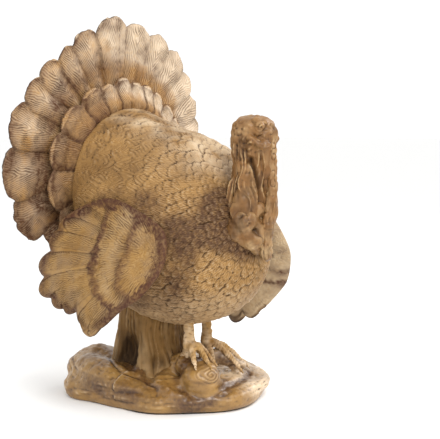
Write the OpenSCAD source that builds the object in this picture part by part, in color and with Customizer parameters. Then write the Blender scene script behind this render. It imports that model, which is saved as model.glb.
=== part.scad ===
// Strutting tom turkey statue: hollow cast resin body with separately cast neck, tail, wings and
// legs, standing on a cast ground base with a tree stump. Millimetres, +Z up. The bird faces -Y and
// its left side is +X. The origin is the middle of the underside of the felt pad.

/* [Base] */
// Thickness of the felt pad under the base
felt_t = 2; // [1:0.5:4]
// Height of the flat top that the stump stands on
ground_z = 30; // [27:1:32]
// Height of the rim of the base where it is lowest
rim_z = 14; // [10:1:18]
// How much higher the rim is at the back
rim_rise = 14; // [6:1:14]

/* [Stump] */
// Radius of the stump at its waist
stump_r = 37; // [33:1:40]
// How far the roots flare out past the waist
root_flare = 15; // [8:1:17]

/* [Body] */
// Half of the widest width of the body
body_half_w = 104; // [96:1:106]
// Lowest point of the belly
belly_z = 91; // [89:1:96]
// Wall thickness of the cast shell
wall = 11; // [8:1:14]

/* [Tail] */
// Radius of the tail fan to the feather tips
fan_r = 162; // [150:1:168]
// Number of large tail feathers
fan_feathers = 19; // [13:2:21]
// Thickness of the tail fan
fan_t = 12; // [9:1:14]
// Radius of the ring of covert feathers in front of the fan
covert_r = 104; // [98:1:108]
// Thickness of the covert ring
covert_t = 14; // [12:1:16]
// Forward lean of the tail, in degrees
tail_lean = 7; // [3:1:9]

/* [Wings] */
// How far the upper edge of each wing stands from the centre plane
wing_top_x = 97; // [95:1:100]
// How far the lower edge of each wing stands from the centre plane
wing_low_x = 138; // [130:1:142]
// Thickness of the flight feathers at the back of the wing
feather_t = 8; // [6:1:10]

/* [Neck and head] */
// Radius of the neck at its waist
neck_r = 18; // [16:1:20]
// Turn of the head towards the bird's left, in degrees
head_turn = 30; // [0:5:40]

/* [Legs] */
// Radius of the shank
shank_r = 6.5; // [5.5:0.5:8]
// Radius of a toe where it leaves the ankle
toe_r = 5; // [4:0.5:6]

/* [Hardware] */
// Diameter of the threaded rod through stump and base
rod_d = 8; // [6:1:10]
// Diameter of the dowels that locate the castings
dowel_d = 6; // [4:1:8]
// Diameter of the wire inside each leg
wire_d = 4; // [3:0.5:5]

/* [Hidden] */
$fn = 48;

// Clearances: between castings that meet, and between a rod and its bore
gap = 0.3;
bore_play = 0.2;
// How far a cut runs past the surface it opens
past = 15;

// Colours of the antiqued resin, the metal and the felt
resin = [0.72, 0.56, 0.36];
resin_dark = [0.60, 0.44, 0.27];
resin_pale = [0.79, 0.65, 0.45];
steel = [0.62, 0.63, 0.65];
felt = [0.22, 0.20, 0.18];

// ---- General functions ------------------------------------------------------------------------
function mix(a, b, t) = a + (b - a) * t;
function clamp(v) = min(1, max(0, v));
function smooth(v) = clamp(v) * clamp(v) * (3 - 2 * clamp(v));
function spline(a, b, c, d, t) =
    0.5 * (2 * b + (c - a) * t + (2 * a - 5 * b + 4 * c - d) * t * t
           + (3 * b - a - 3 * c + d) * t * t * t);

// Value at fraction u of an open list, and at angle a of a closed list that goes once round
function along(list, u) =
    let (last = len(list) - 1, p = u * last, i = min(last - 1, floor(p)))
    spline(list[max(0, i - 1)], list[i], list[i + 1], list[min(last, i + 2)], p - i);
function around(list, a) =
    let (n = len(list), p = (a % 360 + 360) % 360 / 360 * n, i = floor(p))
    spline(list[(i + n - 1) % n], list[i % n], list[(i + 1) % n], list[(i + 2) % n], p - i);

// Closed solid through a list of rings that all have the same number of points. Each ring turns
// counter-clockwise seen from the side that the rings advance to.
module skin(rings) {
    n = len(rings[0]);
    last = len(rings) - 1;
    side = [for (k = [0 : last - 1], i = [0 : n - 1])
        let (a = k * n + i, b = k * n + (i + 1) % n)
        each [[a, b + n, b], [a, a + n, b + n]]];
    ends = [[for (i = [0 : n - 1]) i], [for (i = [n - 1 : -1 : 0]) last * n + i]];
    polyhedron([for (r = rings) each r], concat(side, ends), convexity = 8);
}

// Round tube along a path of points, with a radius for each point
module tube(path, radii, sides = 10) {
    last = len(path) - 1;
    skin([for (k = [0 : last])
        let (d = path[min(last, k + 1)] - path[max(0, k - 1)],
             t = d / norm(d),
             s0 = cross(t, abs(t[2]) > 0.9 ? [0, 1, 0] : [0, 0, 1]),
             s = s0 / norm(s0),
             w = cross(s, t))
        [for (i = [0 : sides - 1])
            path[k] + radii[k] * (s * cos(360 * i / sides) - w * sin(360 * i / sides))]]);
}

// ---- Ground base ------------------------------------------------------------------------------
// Outline radius every 30 degrees from +X, counter-clockwise
base_outline = [118, 110, 110, 118, 120, 104, 84, 93, 97, 116, 117, 123];
base_sides = 48;
rim_high_at = 20;
rim_band = 0.25;
foot_scale = 0.95;
foot_round = 4;
undercut_at = 120;
undercut_depth = 0.12;
stump_at = [-5, 16];
plateau_r = 60;
plateau_edge = 16;
boulder_at = [-24, 94];
boulder_r = 58;
boulder_h = 26;
burl_at = [-22, -77, 33];
burl_r = 23;
recess_d = 34;
recess_h = 14;

function base_r(a) = around(base_outline, a);
function ground(p) =
    let (a = atan2(p[1], p[0]),
         rim = rim_z + rim_rise * (0.5 + 0.5 * cos(a - rim_high_at)),
         slope = mix(rim, ground_z, smooth((1 - norm(p) / base_r(a)) / rim_band)),
         stump = smooth((plateau_r + plateau_edge - norm(p - stump_at)) / plateau_edge),
         boulder = boulder_h * smooth(1 - norm(p - boulder_at) / boulder_r))
    mix(slope + boulder, ground_z, stump);

// The side of the base slopes in towards the felt, most of all below the boulder
function undercut(a) = 1 - undercut_depth * pow(max(0, cos(a - undercut_at)), 3);
function base_ring(scale, z) = [for (i = [0 : base_sides - 1])
    let (a = 360 * i / base_sides)
    [for (c = [cos(a), sin(a)]) c * base_r(a) * undercut(a) * scale, z]];
function ground_ring(scale) = [for (i = [0 : base_sides - 1])
    let (a = 360 * i / base_sides, p = base_r(a) * scale * [cos(a), sin(a)])
    [p[0], p[1], ground(p)]];

module felt_pad() {
    color(felt)
    linear_extrude(felt_t)
    polygon([for (p = base_ring(foot_scale - 0.02, 0)) [p[0], p[1]]]);
}

module ground_base() {
    color(resin)
    difference() {
        union() {
            skin(concat([base_ring(foot_scale, felt_t), base_ring(1, felt_t + foot_round)],
                        [for (s = [1, 0.94, 0.86, 0.76, 0.64, 0.5, 0.34, 0.14]) ground_ring(s)]));
            translate(burl_at) sphere(burl_r);
        }
        translate([-burl_r, -burl_r, felt_t - 2 * burl_r] + [burl_at[0], burl_at[1], 0])
            cube(2 * burl_r);
        at_rod(felt_t - past) cylinder(d = recess_d, h = recess_h + past);
        at_rod(felt_t) cylinder(d = rod_d + bore_play, h = ground_z + past);
        for (side = [-1, 1]) leg_bore(side);
    }
}

// ---- Stump ------------------------------------------------------------------------------------
stump_sides = 40;
stump_roots = 5;
root_turn = 40;
bark_depth = 1.8;
bark_ridges = 7;
bark_twist = 60;
stump_widening = 3;

// Radius of the stump at angle a, where u runs from 0 at the ground to 1 under the body
function stump_radius(a, u) =
    stump_r + root_flare * pow(1 - u, 2.4) * (0.7 + 0.6 * sin(stump_roots * a + root_turn))
    + bark_depth * sin(bark_ridges * a + bark_twist * u) + stump_widening * u * u;

function stump_ring(u, scale = 1) = [for (i = [0 : stump_sides - 1])
    let (a = 360 * i / stump_sides,
         p = stump_at + stump_radius(a, u) * scale * [cos(a), sin(a)])
    [p[0], p[1], mix(ground_z + gap, belly_under(p) - gap, u)]];

module tree_stump() {
    color(resin_dark)
    difference() {
        skin(concat([for (u = [0, 0.08, 0.18, 0.32, 0.5, 0.75, 1]) stump_ring(u)],
                    [for (s = [0.8, 0.6, 0.4, 0.2]) stump_ring(1, s)]));
        at_rod(0) cylinder(d = rod_d + bore_play, h = boss_top);
    }
}

// ---- Rod, washers and nuts --------------------------------------------------------------------
nut_across = rod_d * 1.625;
nut_h = rod_d * 0.8;
washer_t = 2;
rod_tail = 9;
boss_top = 124;
boss_h = 16;
boss_d = 32;
rod_bottom = felt_t + recess_h - washer_t - rod_tail;
rod_top = boss_top + washer_t + nut_h + 4;

module at_rod(z) { translate([stump_at[0], stump_at[1], z]) children(); }

module washer(outer_d) {
    difference() {
        cylinder(d = outer_d, h = washer_t);
        translate([0, 0, -1]) cylinder(d = rod_d + bore_play, h = washer_t + 2);
    }
}

module nut() {
    difference() {
        cylinder(d = nut_across / cos(30), h = nut_h, $fn = 6);
        translate([0, 0, -1]) cylinder(d = rod_d + bore_play, h = nut_h + 2);
    }
}

module centre_rod() {
    color(steel)
    at_rod(rod_bottom) cylinder(d = rod_d, h = rod_top - rod_bottom);
}

module base_washer() { color(steel) at_rod(felt_t + recess_h - washer_t) washer(rod_d * 3); }
module base_nut() { color(steel) at_rod(felt_t + recess_h - washer_t - nut_h) nut(); }
module body_washer() { color(steel) at_rod(boss_top) washer(rod_d * 3); }
module body_nut() { color(steel) at_rod(boss_top + washer_t) nut(); }

// ---- Body -------------------------------------------------------------------------------------
breast_y = -136;
shoulder_y = -30;
rear_y = 64;
breast_z = 172;
back_z = 312;
rear_top_z = 340;
rear_low_z = 166;
rear_narrowing = 18;
shoulder_slope = 0.26;
keel_rise = 2.6;
breast_fullness = 1.25;
body_sides = 36;
body_rings = 20;
cavity_front_y = -72;
plug_d = 70;
tail_hub = [0, rear_y, 255];

// Rounding of the breast, 0 at its front and 1 from the shoulder backwards
function breast_cap(y, front) = sqrt(1 - pow(clamp((shoulder_y - y) / (shoulder_y - front)), 2));
function rear_u(y) = clamp((y - shoulder_y) / (rear_y - shoulder_y));

// Half width, bottom, widest level and top of the section at y. A margin shrinks the section,
// and front is where its rounding starts.
function section(y, margin = 0, front = breast_y) =
    let (c = breast_cap(y, front), u = rear_u(y),
         crown = mix(back_z, rear_top_z, u) - shoulder_slope * max(0, shoulder_y - y) - margin,
         keel = mix(belly_z, rear_low_z, pow(u, keel_rise)) + margin,
         top = mix(breast_z, crown, c),
         low = mix(breast_z, keel, c))
    [pow(c, breast_fullness) * (body_half_w - margin - rear_narrowing * u * u), low,
     mix(low, top, 0.5), top];

// The back of the body leans with the tail
function body_ring(y, margin = 0, front = breast_y) =
    let (s = section(y, margin, front))
    [for (i = [0 : body_sides - 1])
        let (a = -360 * i / body_sides,
             z = s[2] + (sin(a) > 0 ? s[3] - s[2] : s[2] - s[1]) * sin(a))
        [s[0] * cos(a), y - tan(tail_lean) * (z - tail_hub[2]) * pow(rear_u(y), 2), z]];

module body_loft(margin, front, start, stop) {
    skin([for (k = [0 : body_rings])
        body_ring(mix(start, stop, pow(k / body_rings, 1.5)), margin, front)]);
}

// Half width of the body at the point y, z of the side view, and height of its underside at x, y
function body_x(y, z) =
    let (s = section(max(breast_y + 1, min(rear_y, y))),
         v = (z - s[2]) / (z > s[2] ? s[3] - s[2] : s[2] - s[1]))
    y < breast_y || y > rear_y ? 0 : s[0] * sqrt(max(0, 1 - v * v));
function belly_under(p) =
    let (s = section(p[1])) s[2] - (s[2] - s[1]) * sqrt(max(0, 1 - pow(p[0] / s[0], 2)));

module body_shell() {
    color(resin)
    difference() {
        union() {
            difference() {
                body_loft(0, breast_y, breast_y + 2, rear_y);
                body_loft(wall, cavity_front_y, cavity_front_y + 2, rear_y - wall);
            }
            at_rod(boss_top - boss_h) cylinder(d = boss_d, h = boss_h);
        }
        at_rod(0) cylinder(d = rod_d + bore_play, h = boss_top + past);
        at_neck() cylinder(r = neck_seat_r + gap, h = 4 * past);
        neck_bore();
        at_tail() translate([0, 0, -wall - past]) cylinder(d = plug_d, h = wall + 2 * past);
        tail_bores();
        wing_bores();
        for (side = [-1, 1]) leg_bore(side);
        for (side = [-1, 1]) at_leg(side) cylinder(r = shank_r + gap, h = leg_socket_z - ankle(side)[2]);
    }
}

module rear_plug() {
    color(resin_dark)
    at_tail() translate([0, 0, -wall]) cylinder(d = plug_d - 2 * gap, h = wall - gap);
}

// ---- Neck and head ----------------------------------------------------------------------------
neck_seat = [0, -100, 196];
neck_seat_tilt = 27;
neck_seat_r = 25;
neck_collar_h = 12;
neck_dowel_down = 17;
neck_dowel_up = 22;
neck_sides = 24;
neck_steps = 24;

// Rings of the neck and head: centre y and z, half width, half depth, forward tilt, turn
neck_rings = [
    [-103, 202, 21, 21, 27, 0],
    [-112, 217, 23.5, 23, 20, 0],
    [-121, 231, 22, 21, 12, 2],
    [-126, 246, 19.5, 20, 5, 5],
    [-128, 262, 18, 19, 0, 10],
    [-129, 280, 18.5, 20, 0, 18],
    [-131, 293, 20, 23.5, 0, 25],
    [-132, 306, 21, 25, 0, 30],
    [-132, 317, 19.5, 23.5, 0, 30],
    [-132, 325, 14, 18, 0, 30],
    [-132, 329, 5, 7, 0, 30]
];

module at_neck() { translate(neck_seat) rotate([neck_seat_tilt, 0, 0]) children(); }

function neck_ring(r) =
    let (grow = neck_r / 18, turn = r[5] * head_turn / 30)
    [for (i = [0 : neck_sides - 1])
        let (a = 360 * i / neck_sides, x = r[2] * grow * cos(a), y = r[3] * grow * sin(a))
        [x * cos(turn) - y * cos(r[4]) * sin(turn),
         r[0] + x * sin(turn) + y * cos(r[4]) * cos(turn), r[1] + y * sin(r[4])]];

// Outer form of the neck column, with the skull on top
module neck_column() {
    skin([for (k = [0 : neck_steps]) neck_ring(along(neck_rings, k / neck_steps))]);
}

// Short down-curved beak in front of the turned skull
head_y = -132;
beak_path = [[12, 312], [19, 310], [23, 305], [23, 300]];
beak_radii = [11, 8.5, 5.5, 2];

function turned(p) = [p[0] * sin(head_turn), head_y - p[0] * cos(head_turn), p[1]];

module neck_head() {
    color(resin_pale)
    difference() {
        union() {
            at_neck() cylinder(r = neck_seat_r, h = neck_collar_h);
            neck_column();
            tube([for (p = beak_path) turned(p)], beak_radii, 12);
        }
        neck_bore();
    }
}

module neck_bore() {
    at_neck() translate([0, 0, -neck_dowel_down - 1])
        cylinder(d = dowel_d + bore_play, h = neck_dowel_down + neck_dowel_up + 2);
}

module neck_dowel() {
    color(steel)
    at_neck() translate([0, 0, -neck_dowel_down])
        cylinder(d = dowel_d, h = neck_dowel_down + neck_dowel_up);
}

// Fleshy snood that hangs from above the beak down past the throat
snood_path = [[5, -151, 320], [4, -153, 311], [4, -152, 300], [5, -151, 285], [4, -151, 265],
              [4, -152, 247], [1, -152, 232], [-3, -152, 215], [-3, -151, 198], [1, -149, 186],
              [2, -148, 180], [2, -147, 173]];
snood_radii = [4, 6, 5.5, 5, 4.5, 4.5, 4.5, 4.5, 5, 6, 7, 5];

module snood() {
    color(resin_pale)
    tube(snood_path, snood_radii, 12);
}

// Throat lumps, each given by its centre and its radius, and the loose fold of skin beside them
wattle_lumps = [[-19, -134, 214, 15], [-15, -128, 197, 11], [-11, -146, 196, 9], [6, -142, 205, 10],
                [-6, -143, 228, 9], [-2, -139, 187, 9]];
fold_path = [[9, -143, 262], [8, -150, 247], [10, -152, 233], [8, -151, 221], [6, -147, 211]];
fold_radii = [2.5, 4, 4.5, 4, 3];

module wattle() {
    color(resin_pale)
    difference() {
        union() {
            for (w = wattle_lumps) translate([w[0], w[1], w[2]]) sphere(w[3], $fn = 20);
            tube(fold_path, fold_radii);
        }
        neck_column();
        body_loft(0, breast_y, breast_y + 2, rear_y);
        snood();
    }
}

// ---- Tail -------------------------------------------------------------------------------------
// Length of the tail feathers against fan_r, evenly spaced from one side of the fan to the other
fan_outline = [-4, -6, -6, -3, 2, 0, 1, 2, -6, -5, 1, 3, -3];
fan_rise = 25;
fan_core_r = 118;
feather_inset = 5;
covert_rise = 15;
inner_covert_r = 94;
covert_notch = 7;
fan_span = 121;
fan_heel = 40;
fan_notch = 9;
scallop_steps = 6;
covert_feathers = 17;
covert_span = 116;
covert_outline = [10, 13, 8, 2, 0, 2, 8, 13, 10];
quill_r = 2.4;
quill_start = fan_core_r + 4;
quill_short = 14;

// The tail is built flat: Z is the thickness, from the back of the body rearwards, and Y is up
module at_tail() { translate(tail_hub) rotate([90 - tail_lean, 0, 180]) children(); }

// Feather ring outline: n scalloped tips from -span to span, closed by a small heel below the hub.
// The tips stand out to r plus the lengths in extra, which are spread evenly over the span.
function feather_ring(r, extra, n, span, notch) =
    let (pitch = 2 * span / (n - 1), steps = scallop_steps * n)
    concat([for (k = [0 : steps])
        let (a = (k / steps - 0.5) * n * pitch,
             scallop = notch * (1 - sqrt(abs(cos(180 * a / pitch)))))
        (r + along(extra, k / steps) - scallop) * [sin(a), cos(a)]],
        [for (a = [160, 180, 200]) fan_heel * [sin(a), cos(a)]]);

module feather_plate(ring, t) { linear_extrude(t) polygon(ring); }

// Raised quills on the front face of the fan
module quills() {
    for (k = [0 : fan_feathers - 1])
        rotate([0, 0, fan_span - 2 * fan_span * k / (fan_feathers - 1)])
            translate([0, quill_start, feather_inset]) rotate([-90, 0, 0])
                cylinder(r1 = quill_r, r2 = quill_r / 2, h = fan_r - quill_short - quill_start,
                         $fn = 16);
}

module tail_fan() {
    color(resin)
    difference() {
        at_tail() translate([0, fan_rise, covert_t]) {
            translate([0, 0, feather_inset])
                feather_plate(feather_ring(fan_r, fan_outline, fan_feathers, fan_span, fan_notch),
                              fan_t - feather_inset - 1);
            feather_plate(feather_ring(fan_core_r, [0, 0], fan_feathers, fan_span, 0), fan_t);
            quills();
        }
        tail_bores();
    }
}

// Two rows of coverts: the inner row lies on the body side of the outer one
module tail_coverts() {
    color(resin_pale)
    difference() {
        at_tail() translate([0, covert_rise, 0]) {
            feather_plate(feather_ring(inner_covert_r, covert_outline, covert_feathers,
                                       covert_span, covert_notch), covert_t);
            translate([0, 0, covert_t / 2])
                feather_plate(feather_ring(covert_r, covert_outline, covert_feathers,
                                           covert_span, covert_notch), covert_t / 2);
        }
        tail_bores();
    }
}

// Soft feathers under the tail, behind the fan
vent_at = [0, -10];
vent_size = [62, 78, 40];
vent_sides = 28;

module vent_feathers() {
    color(resin_dark)
    difference() {
        at_tail() translate([vent_at[0], vent_at[1], covert_t + fan_t])
            skin([for (v = [0, 0.25, 0.5, 0.7, 0.85, 0.95, 1])
                let (s = max(0.12, sqrt(1 - v * v)))
                [for (i = [0 : vent_sides - 1]) let (a = 360 * i / vent_sides)
                    [vent_size[0] * s * cos(a), vent_size[1] * s * sin(a) * (sin(a) > 0 ? 0.75 : 1),
                     vent_size[2] * v]]]);
        tail_bores();
    }
}

tail_dowel_x = 45;
tail_dowel_len = wall + covert_t + fan_t + 12;

module tail_bores() {
    at_tail() for (s = [-1, 1])
        translate([s * tail_dowel_x, 0, -wall - past])
            cylinder(d = dowel_d + bore_play, h = tail_dowel_len + past + 1);
}

module tail_dowels() {
    color(steel)
    at_tail() for (s = [-1, 1])
        translate([s * tail_dowel_x, 0, -wall]) cylinder(d = dowel_d, h = tail_dowel_len);
}

// ---- Wings ------------------------------------------------------------------------------------
// Outline radius of each drooping wing every 15 degrees in the side view, from straight back
// upwards. The left wing hangs lower.
right_outline = [108, 103, 92, 82, 76, 72, 68, 65, 64, 66, 71, 71,
                 72, 67, 62, 57, 56, 60, 68, 77, 72, 74, 92, 105];
left_outline = [105, 101, 92, 82, 76, 72, 68, 65, 64, 66, 70, 70,
                69, 65, 64, 66, 69, 76, 89, 108, 118, 112, 98, 100];
wing_at = [-30, 170];
wing_sides = 96;
primaries = 6;
primary_pitch = 17;
primary_start = -81;
primary_notch = 8;
wing_bulge = 12;
wing_rear_out = 14;
wing_rear_y = 60;
flare_top_z = 215;
flare_h = 95;
shoulder_depth = 30;
wing_dowel_at = [[-50, 185], [5, 190]];
wing_dowel_len = 20;
wing_dowel_x = body_half_w - 2;

function primary_gap(a) =
    let (t = ((a + 540) % 360 - 180 - primary_start) / primary_pitch)
    t > 0 && t < primaries ? primary_notch * (1 - sqrt(abs(sin(180 * t)))) : 0;
function wing_point(a, s, outline) =
    wing_at + s * (around(outline, a) - primary_gap(a)) * [cos(a), sin(a)];

// Distance of the wing's outer face from the centre plane: it flares out towards its lower edge
function wing_outer(p, s) =
    let (low = smooth((flare_top_z - p[1]) / flare_h),
         flare = mix(wing_top_x, wing_low_x, low) + wing_rear_out * smooth(p[0] / wing_rear_y) * (1 - low))
    max(flare + wing_bulge * (1 - s * s), body_x(p[0], p[1]) + gap + feather_t / 2);
function wing_inner(p, s) =
    let (out = wing_outer(p, s),
         depth = feather_t + shoulder_depth * smooth(0.33 - p[0] / wing_rear_y) * (1 - s * s * s))
    min(out - 0.45 * feather_t, max(out - depth, body_x(p[0], p[1]) + gap));

function wing_ring(s, outer, outline) = [for (i = [0 : wing_sides - 1])
    let (p = wing_point(-360 * i / wing_sides, s, outline))
    [outer ? wing_outer(p, s) : wing_inner(p, s), p[0], p[1]]];

module wing_bores() {
    for (side = [-1, 1], p = wing_dowel_at)
        translate([side * wing_dowel_x, p[0], p[1]]) rotate([0, 90, 0])
            cylinder(d = dowel_d + bore_play, h = wing_dowel_len + 1, center = true);
}

module wing(side, outline) {
    difference() {
        scale([side, 1, 1])
            skin(concat([for (s = [0.1, 0.4, 0.7, 0.9, 1]) wing_ring(s, true, outline)],
                        [for (s = [0.97, 0.8, 0.55, 0.3, 0.1]) wing_ring(s, false, outline)]));
        wing_bores();
    }
}

module right_wing() { color(resin) wing(-1, right_outline); }
module left_wing() { color(resin) wing(1, left_outline); }

module wing_dowels() {
    color(steel)
    for (side = [-1, 1], p = wing_dowel_at)
        translate([side * wing_dowel_x, p[0], p[1]]) rotate([0, 90, 0])
            cylinder(d = dowel_d, h = wing_dowel_len, center = true);
}

// ---- Legs -------------------------------------------------------------------------------------
leg_socket_z = 106;
wire_low_z = 14;
wire_top_z = 125;
ankle_h = 14;
ankle_r = shank_r + 1.5;
claw_r = 1.2;
toe_steps = 7;

// Toes of each foot: tip x, y, z and how high the knuckle arches
left_toes = [[12, -69, 32, 4], [38, -88, 31, 7], [64, -78, 30, 7], [32, -24, 32, 2]];
right_toes = [[-40, -84, 49, 8], [-25, -94, 49, 9], [-6, -86, 47, 8], [-16, -33, 33, 2]];

function ankle(side) = side > 0 ? [16, -51, 69] : [-20, -56, 70];
module at_leg(side) { translate(ankle(side)) children(); }

module leg_bore(side) {
    translate([ankle(side)[0], ankle(side)[1], wire_low_z])
        cylinder(d = wire_d + bore_play, h = wire_top_z - wire_low_z);
}

// Toe that bends over its knuckle and ends in a claw
module toe(from, tip) {
    tube([for (k = [0 : toe_steps]) let (u = k / toe_steps)
             mix(from, [tip[0], tip[1], tip[2]], u) + [0, 0, tip[3] * sin(180 * pow(u, 0.8))]],
         [for (k = [0 : toe_steps]) mix(toe_r, claw_r, pow(k / toe_steps, 2.2))], 8);
}

module leg(side, toes) {
    from = ankle(side);
    difference() {
        union() {
            at_leg(side) cylinder(r1 = ankle_r, r2 = shank_r, h = ankle_h);
            at_leg(side) cylinder(r = shank_r, h = leg_socket_z - gap - from[2]);
            at_leg(side) sphere(ankle_r);
            for (t = toes) toe(from, t);
        }
        leg_bore(side);
    }
}

module right_leg() { color(resin_dark) leg(-1, right_toes); }
module left_leg() { color(resin_dark) leg(1, left_toes); }

module leg_wires() {
    color(steel)
    for (side = [-1, 1])
        translate([ankle(side)[0], ankle(side)[1], wire_low_z + 1])
            cylinder(d = wire_d, h = wire_top_z - wire_low_z - 2);
}

felt_pad();
ground_base();
tree_stump();
centre_rod();
base_washer();
base_nut();
body_washer();
body_nut();
body_shell();
rear_plug();
neck_head();
neck_dowel();
snood();
wattle();
tail_fan();
tail_coverts();
vent_feathers();
tail_dowels();
right_wing();
left_wing();
wing_dowels();
right_leg();
left_leg();
leg_wires();
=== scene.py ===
"""Looks of the turkey statue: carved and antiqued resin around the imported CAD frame.

Shapes are worked out in millimetres as arrays of points, sculpted, and turned into pieces in metres.
The bird faces -Y, its left side is +X and +Z is up.
"""
import itertools
import math
from types import SimpleNamespace

import bpy
import numpy as np
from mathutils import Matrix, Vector
from mathutils.bvhtree import BVHTree
from mathutils.kdtree import KDTree


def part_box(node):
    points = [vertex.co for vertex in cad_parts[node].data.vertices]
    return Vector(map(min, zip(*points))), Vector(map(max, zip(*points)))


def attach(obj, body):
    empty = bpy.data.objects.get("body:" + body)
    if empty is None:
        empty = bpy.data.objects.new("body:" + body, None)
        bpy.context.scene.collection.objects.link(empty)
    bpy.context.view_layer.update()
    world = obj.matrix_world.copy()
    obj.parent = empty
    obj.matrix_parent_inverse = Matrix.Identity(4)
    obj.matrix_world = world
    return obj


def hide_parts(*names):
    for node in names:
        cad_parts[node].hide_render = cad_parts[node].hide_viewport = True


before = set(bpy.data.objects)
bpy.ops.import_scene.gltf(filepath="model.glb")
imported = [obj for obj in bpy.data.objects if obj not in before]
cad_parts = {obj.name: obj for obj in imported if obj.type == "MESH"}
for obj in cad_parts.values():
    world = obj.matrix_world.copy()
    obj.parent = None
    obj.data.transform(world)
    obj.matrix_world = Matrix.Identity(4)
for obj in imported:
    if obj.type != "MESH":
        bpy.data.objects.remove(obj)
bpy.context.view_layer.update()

MM = 0.001
X_AXIS = np.array([1.0, 0.0, 0.0])
Y_AXIS = np.array([0.0, 1.0, 0.0])
Z_AXIS = np.array([0.0, 0.0, 1.0])
random = np.random.default_rng(11)
NOISE_TABLE = random.random(4096)


# ---- Small maths --------------------------------------------------------------------------------
def smooth(v):
    v = np.clip(v, 0, 1)
    return v * v * (3 - 2 * v)


def mix(a, b, t):
    return a + (b - a) * t


def unit(v):
    return v / np.maximum(np.linalg.norm(v, axis=-1, keepdims=True), 1e-9)


def dot(a, b):
    return (a * b).sum(-1)


def bell(v, width):
    return np.exp(-((v / width) ** 2))


def along(values, u):
    """Smooth value at fraction u of an evenly spaced list."""
    values = np.asarray(values, float)
    last = len(values) - 1
    p = np.clip(u, 0, 1) * last
    i = np.clip(np.floor(p).astype(int), 0, last - 1)
    t = p - i
    a, b = values[np.maximum(i - 1, 0)], values[i]
    c, d = values[i + 1], values[np.minimum(i + 2, last)]
    return 0.5 * (2 * b + (c - a) * t + (2 * a - 5 * b + 4 * c - d) * t ** 2
                  + (3 * b - a - 3 * c + d) * t ** 3)


def noise(points, size, seed=0):
    """Smooth noise from -1 to 1 with blobs of about size millimetres."""
    q = np.asarray(points) / size + 1000 + 17.3 * seed
    cell = np.floor(q).astype(np.int64)
    f = q - cell
    f = f * f * (3 - 2 * f)
    total = np.zeros(q.shape[:-1])
    for corner in itertools.product((0, 1), repeat=3):
        c = cell + corner
        key = (c[..., 0] * 73856093 ^ c[..., 1] * 19349663 ^ c[..., 2] * 83492791) & 4095
        total += np.where(corner, f, 1 - f).prod(-1) * NOISE_TABLE[key]
    return 2 * total - 1


def rough(points, size, octaves=3, seed=0):
    """Noise with finer noise on it, each octave half the size and half the height."""
    return sum(noise(points, size / 2 ** k, seed + k) / 2 ** k for k in range(octaves))


def heading(degrees):
    """Unit step in a plane at an angle."""
    a = math.radians(degrees)
    return np.array([math.cos(a), math.sin(a)])


def from_point(points, place):
    return np.linalg.norm(points - place, axis=1)


def from_line(points, path):
    """Distance of every point from a smoothed path."""
    path = np.asarray(path, float)
    u = np.linspace(0, 1, 8 * len(path))
    centre = np.stack([along(path[:, k], u) for k in range(3)], -1)
    return np.min([from_point(points, c) for c in centre], axis=0)


def finder_of(points):
    """Quick search for the points near a place."""
    finder = KDTree(len(points))
    for k, p in enumerate(points):
        finder.insert(p, k)
    finder.balance()
    return finder


def add_object(name, data):
    obj = bpy.data.objects.new(name, data)
    bpy.context.scene.collection.objects.link(obj)
    return obj


# ---- Solids and clay ----------------------------------------------------------------------------
def grid_faces(rows, cols, wrap):
    r = np.arange(rows - 1)[:, None]
    c = np.arange(cols if wrap else cols - 1)[None, :]
    a = r * cols + c
    b = r * cols + (c + 1) % cols
    return np.stack([a, b, b + cols, a + cols], -1).reshape(-1, 4)


def tube(path, radii, sides=14):
    """Closed round tube along a smoothed path: its points and faces."""
    path = np.asarray(path, float)
    u = np.linspace(0, 1, 6 * len(path))
    centre = np.stack([along(path[:, k], u) for k in range(3)], -1)
    r = along(radii, u)
    t = unit(np.gradient(centre, axis=0))
    ref = np.where(np.abs(t[:, 2:]) > 0.9, Y_AXIS, Z_AXIS)
    side = unit(np.cross(t, ref))
    over = np.cross(side, t)
    a = np.linspace(0, 2 * np.pi, sides, endpoint=False)
    co = centre[:, None] + r[:, None, None] * (
        side[:, None] * np.cos(a)[:, None] + over[:, None] * np.sin(a)[:, None])
    faces = [list(f) for f in grid_faces(len(u), sides, True)]
    faces += [list(range(sides))[::-1], list(range((len(u) - 1) * sides, len(u) * sides))]
    return co.reshape(-1, 3), faces


def blob(centre, radii, rows=14, cols=20):
    """Ellipsoid: its points and faces."""
    v = np.linspace(0.04, 0.96, rows)[:, None] * np.pi
    a = np.linspace(0, 2 * np.pi, cols, endpoint=False)[None, :]
    ball = np.stack([np.sin(v) * np.cos(a), np.sin(v) * np.sin(a), np.cos(v) + 0 * a], -1)
    co = np.asarray(centre) + ball * np.asarray(radii)
    faces = [list(f[::-1]) for f in grid_faces(rows, cols, True)]
    faces += [list(range(cols)), list(range((rows - 1) * cols, rows * cols))[::-1]]
    return co.reshape(-1, 3), faces


def cad_solid(node):
    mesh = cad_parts[node].data
    co = np.zeros(len(mesh.vertices) * 3)
    mesh.vertices.foreach_get("co", co)
    return co.reshape(-1, 3) / MM, [list(p.vertices) for p in mesh.polygons]


def tree_of(co, faces):
    return BVHTree.FromPolygons([Vector(p) for p in co], [list(f) for f in faces])


def cast(tree, start, direction):
    """Where rays first hit the tree, or NaN."""
    hits = np.full(start.shape, np.nan)
    flat_start, flat_dir = start.reshape(-1, 3), direction.reshape(-1, 3)
    flat_hits = hits.reshape(-1, 3)
    for k in range(len(flat_start)):
        hit = tree.ray_cast(Vector(flat_start[k]), Vector(flat_dir[k]))[0]
        if hit is not None:
            flat_hits[k] = hit
    return flat_hits.reshape(start.shape)


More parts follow.
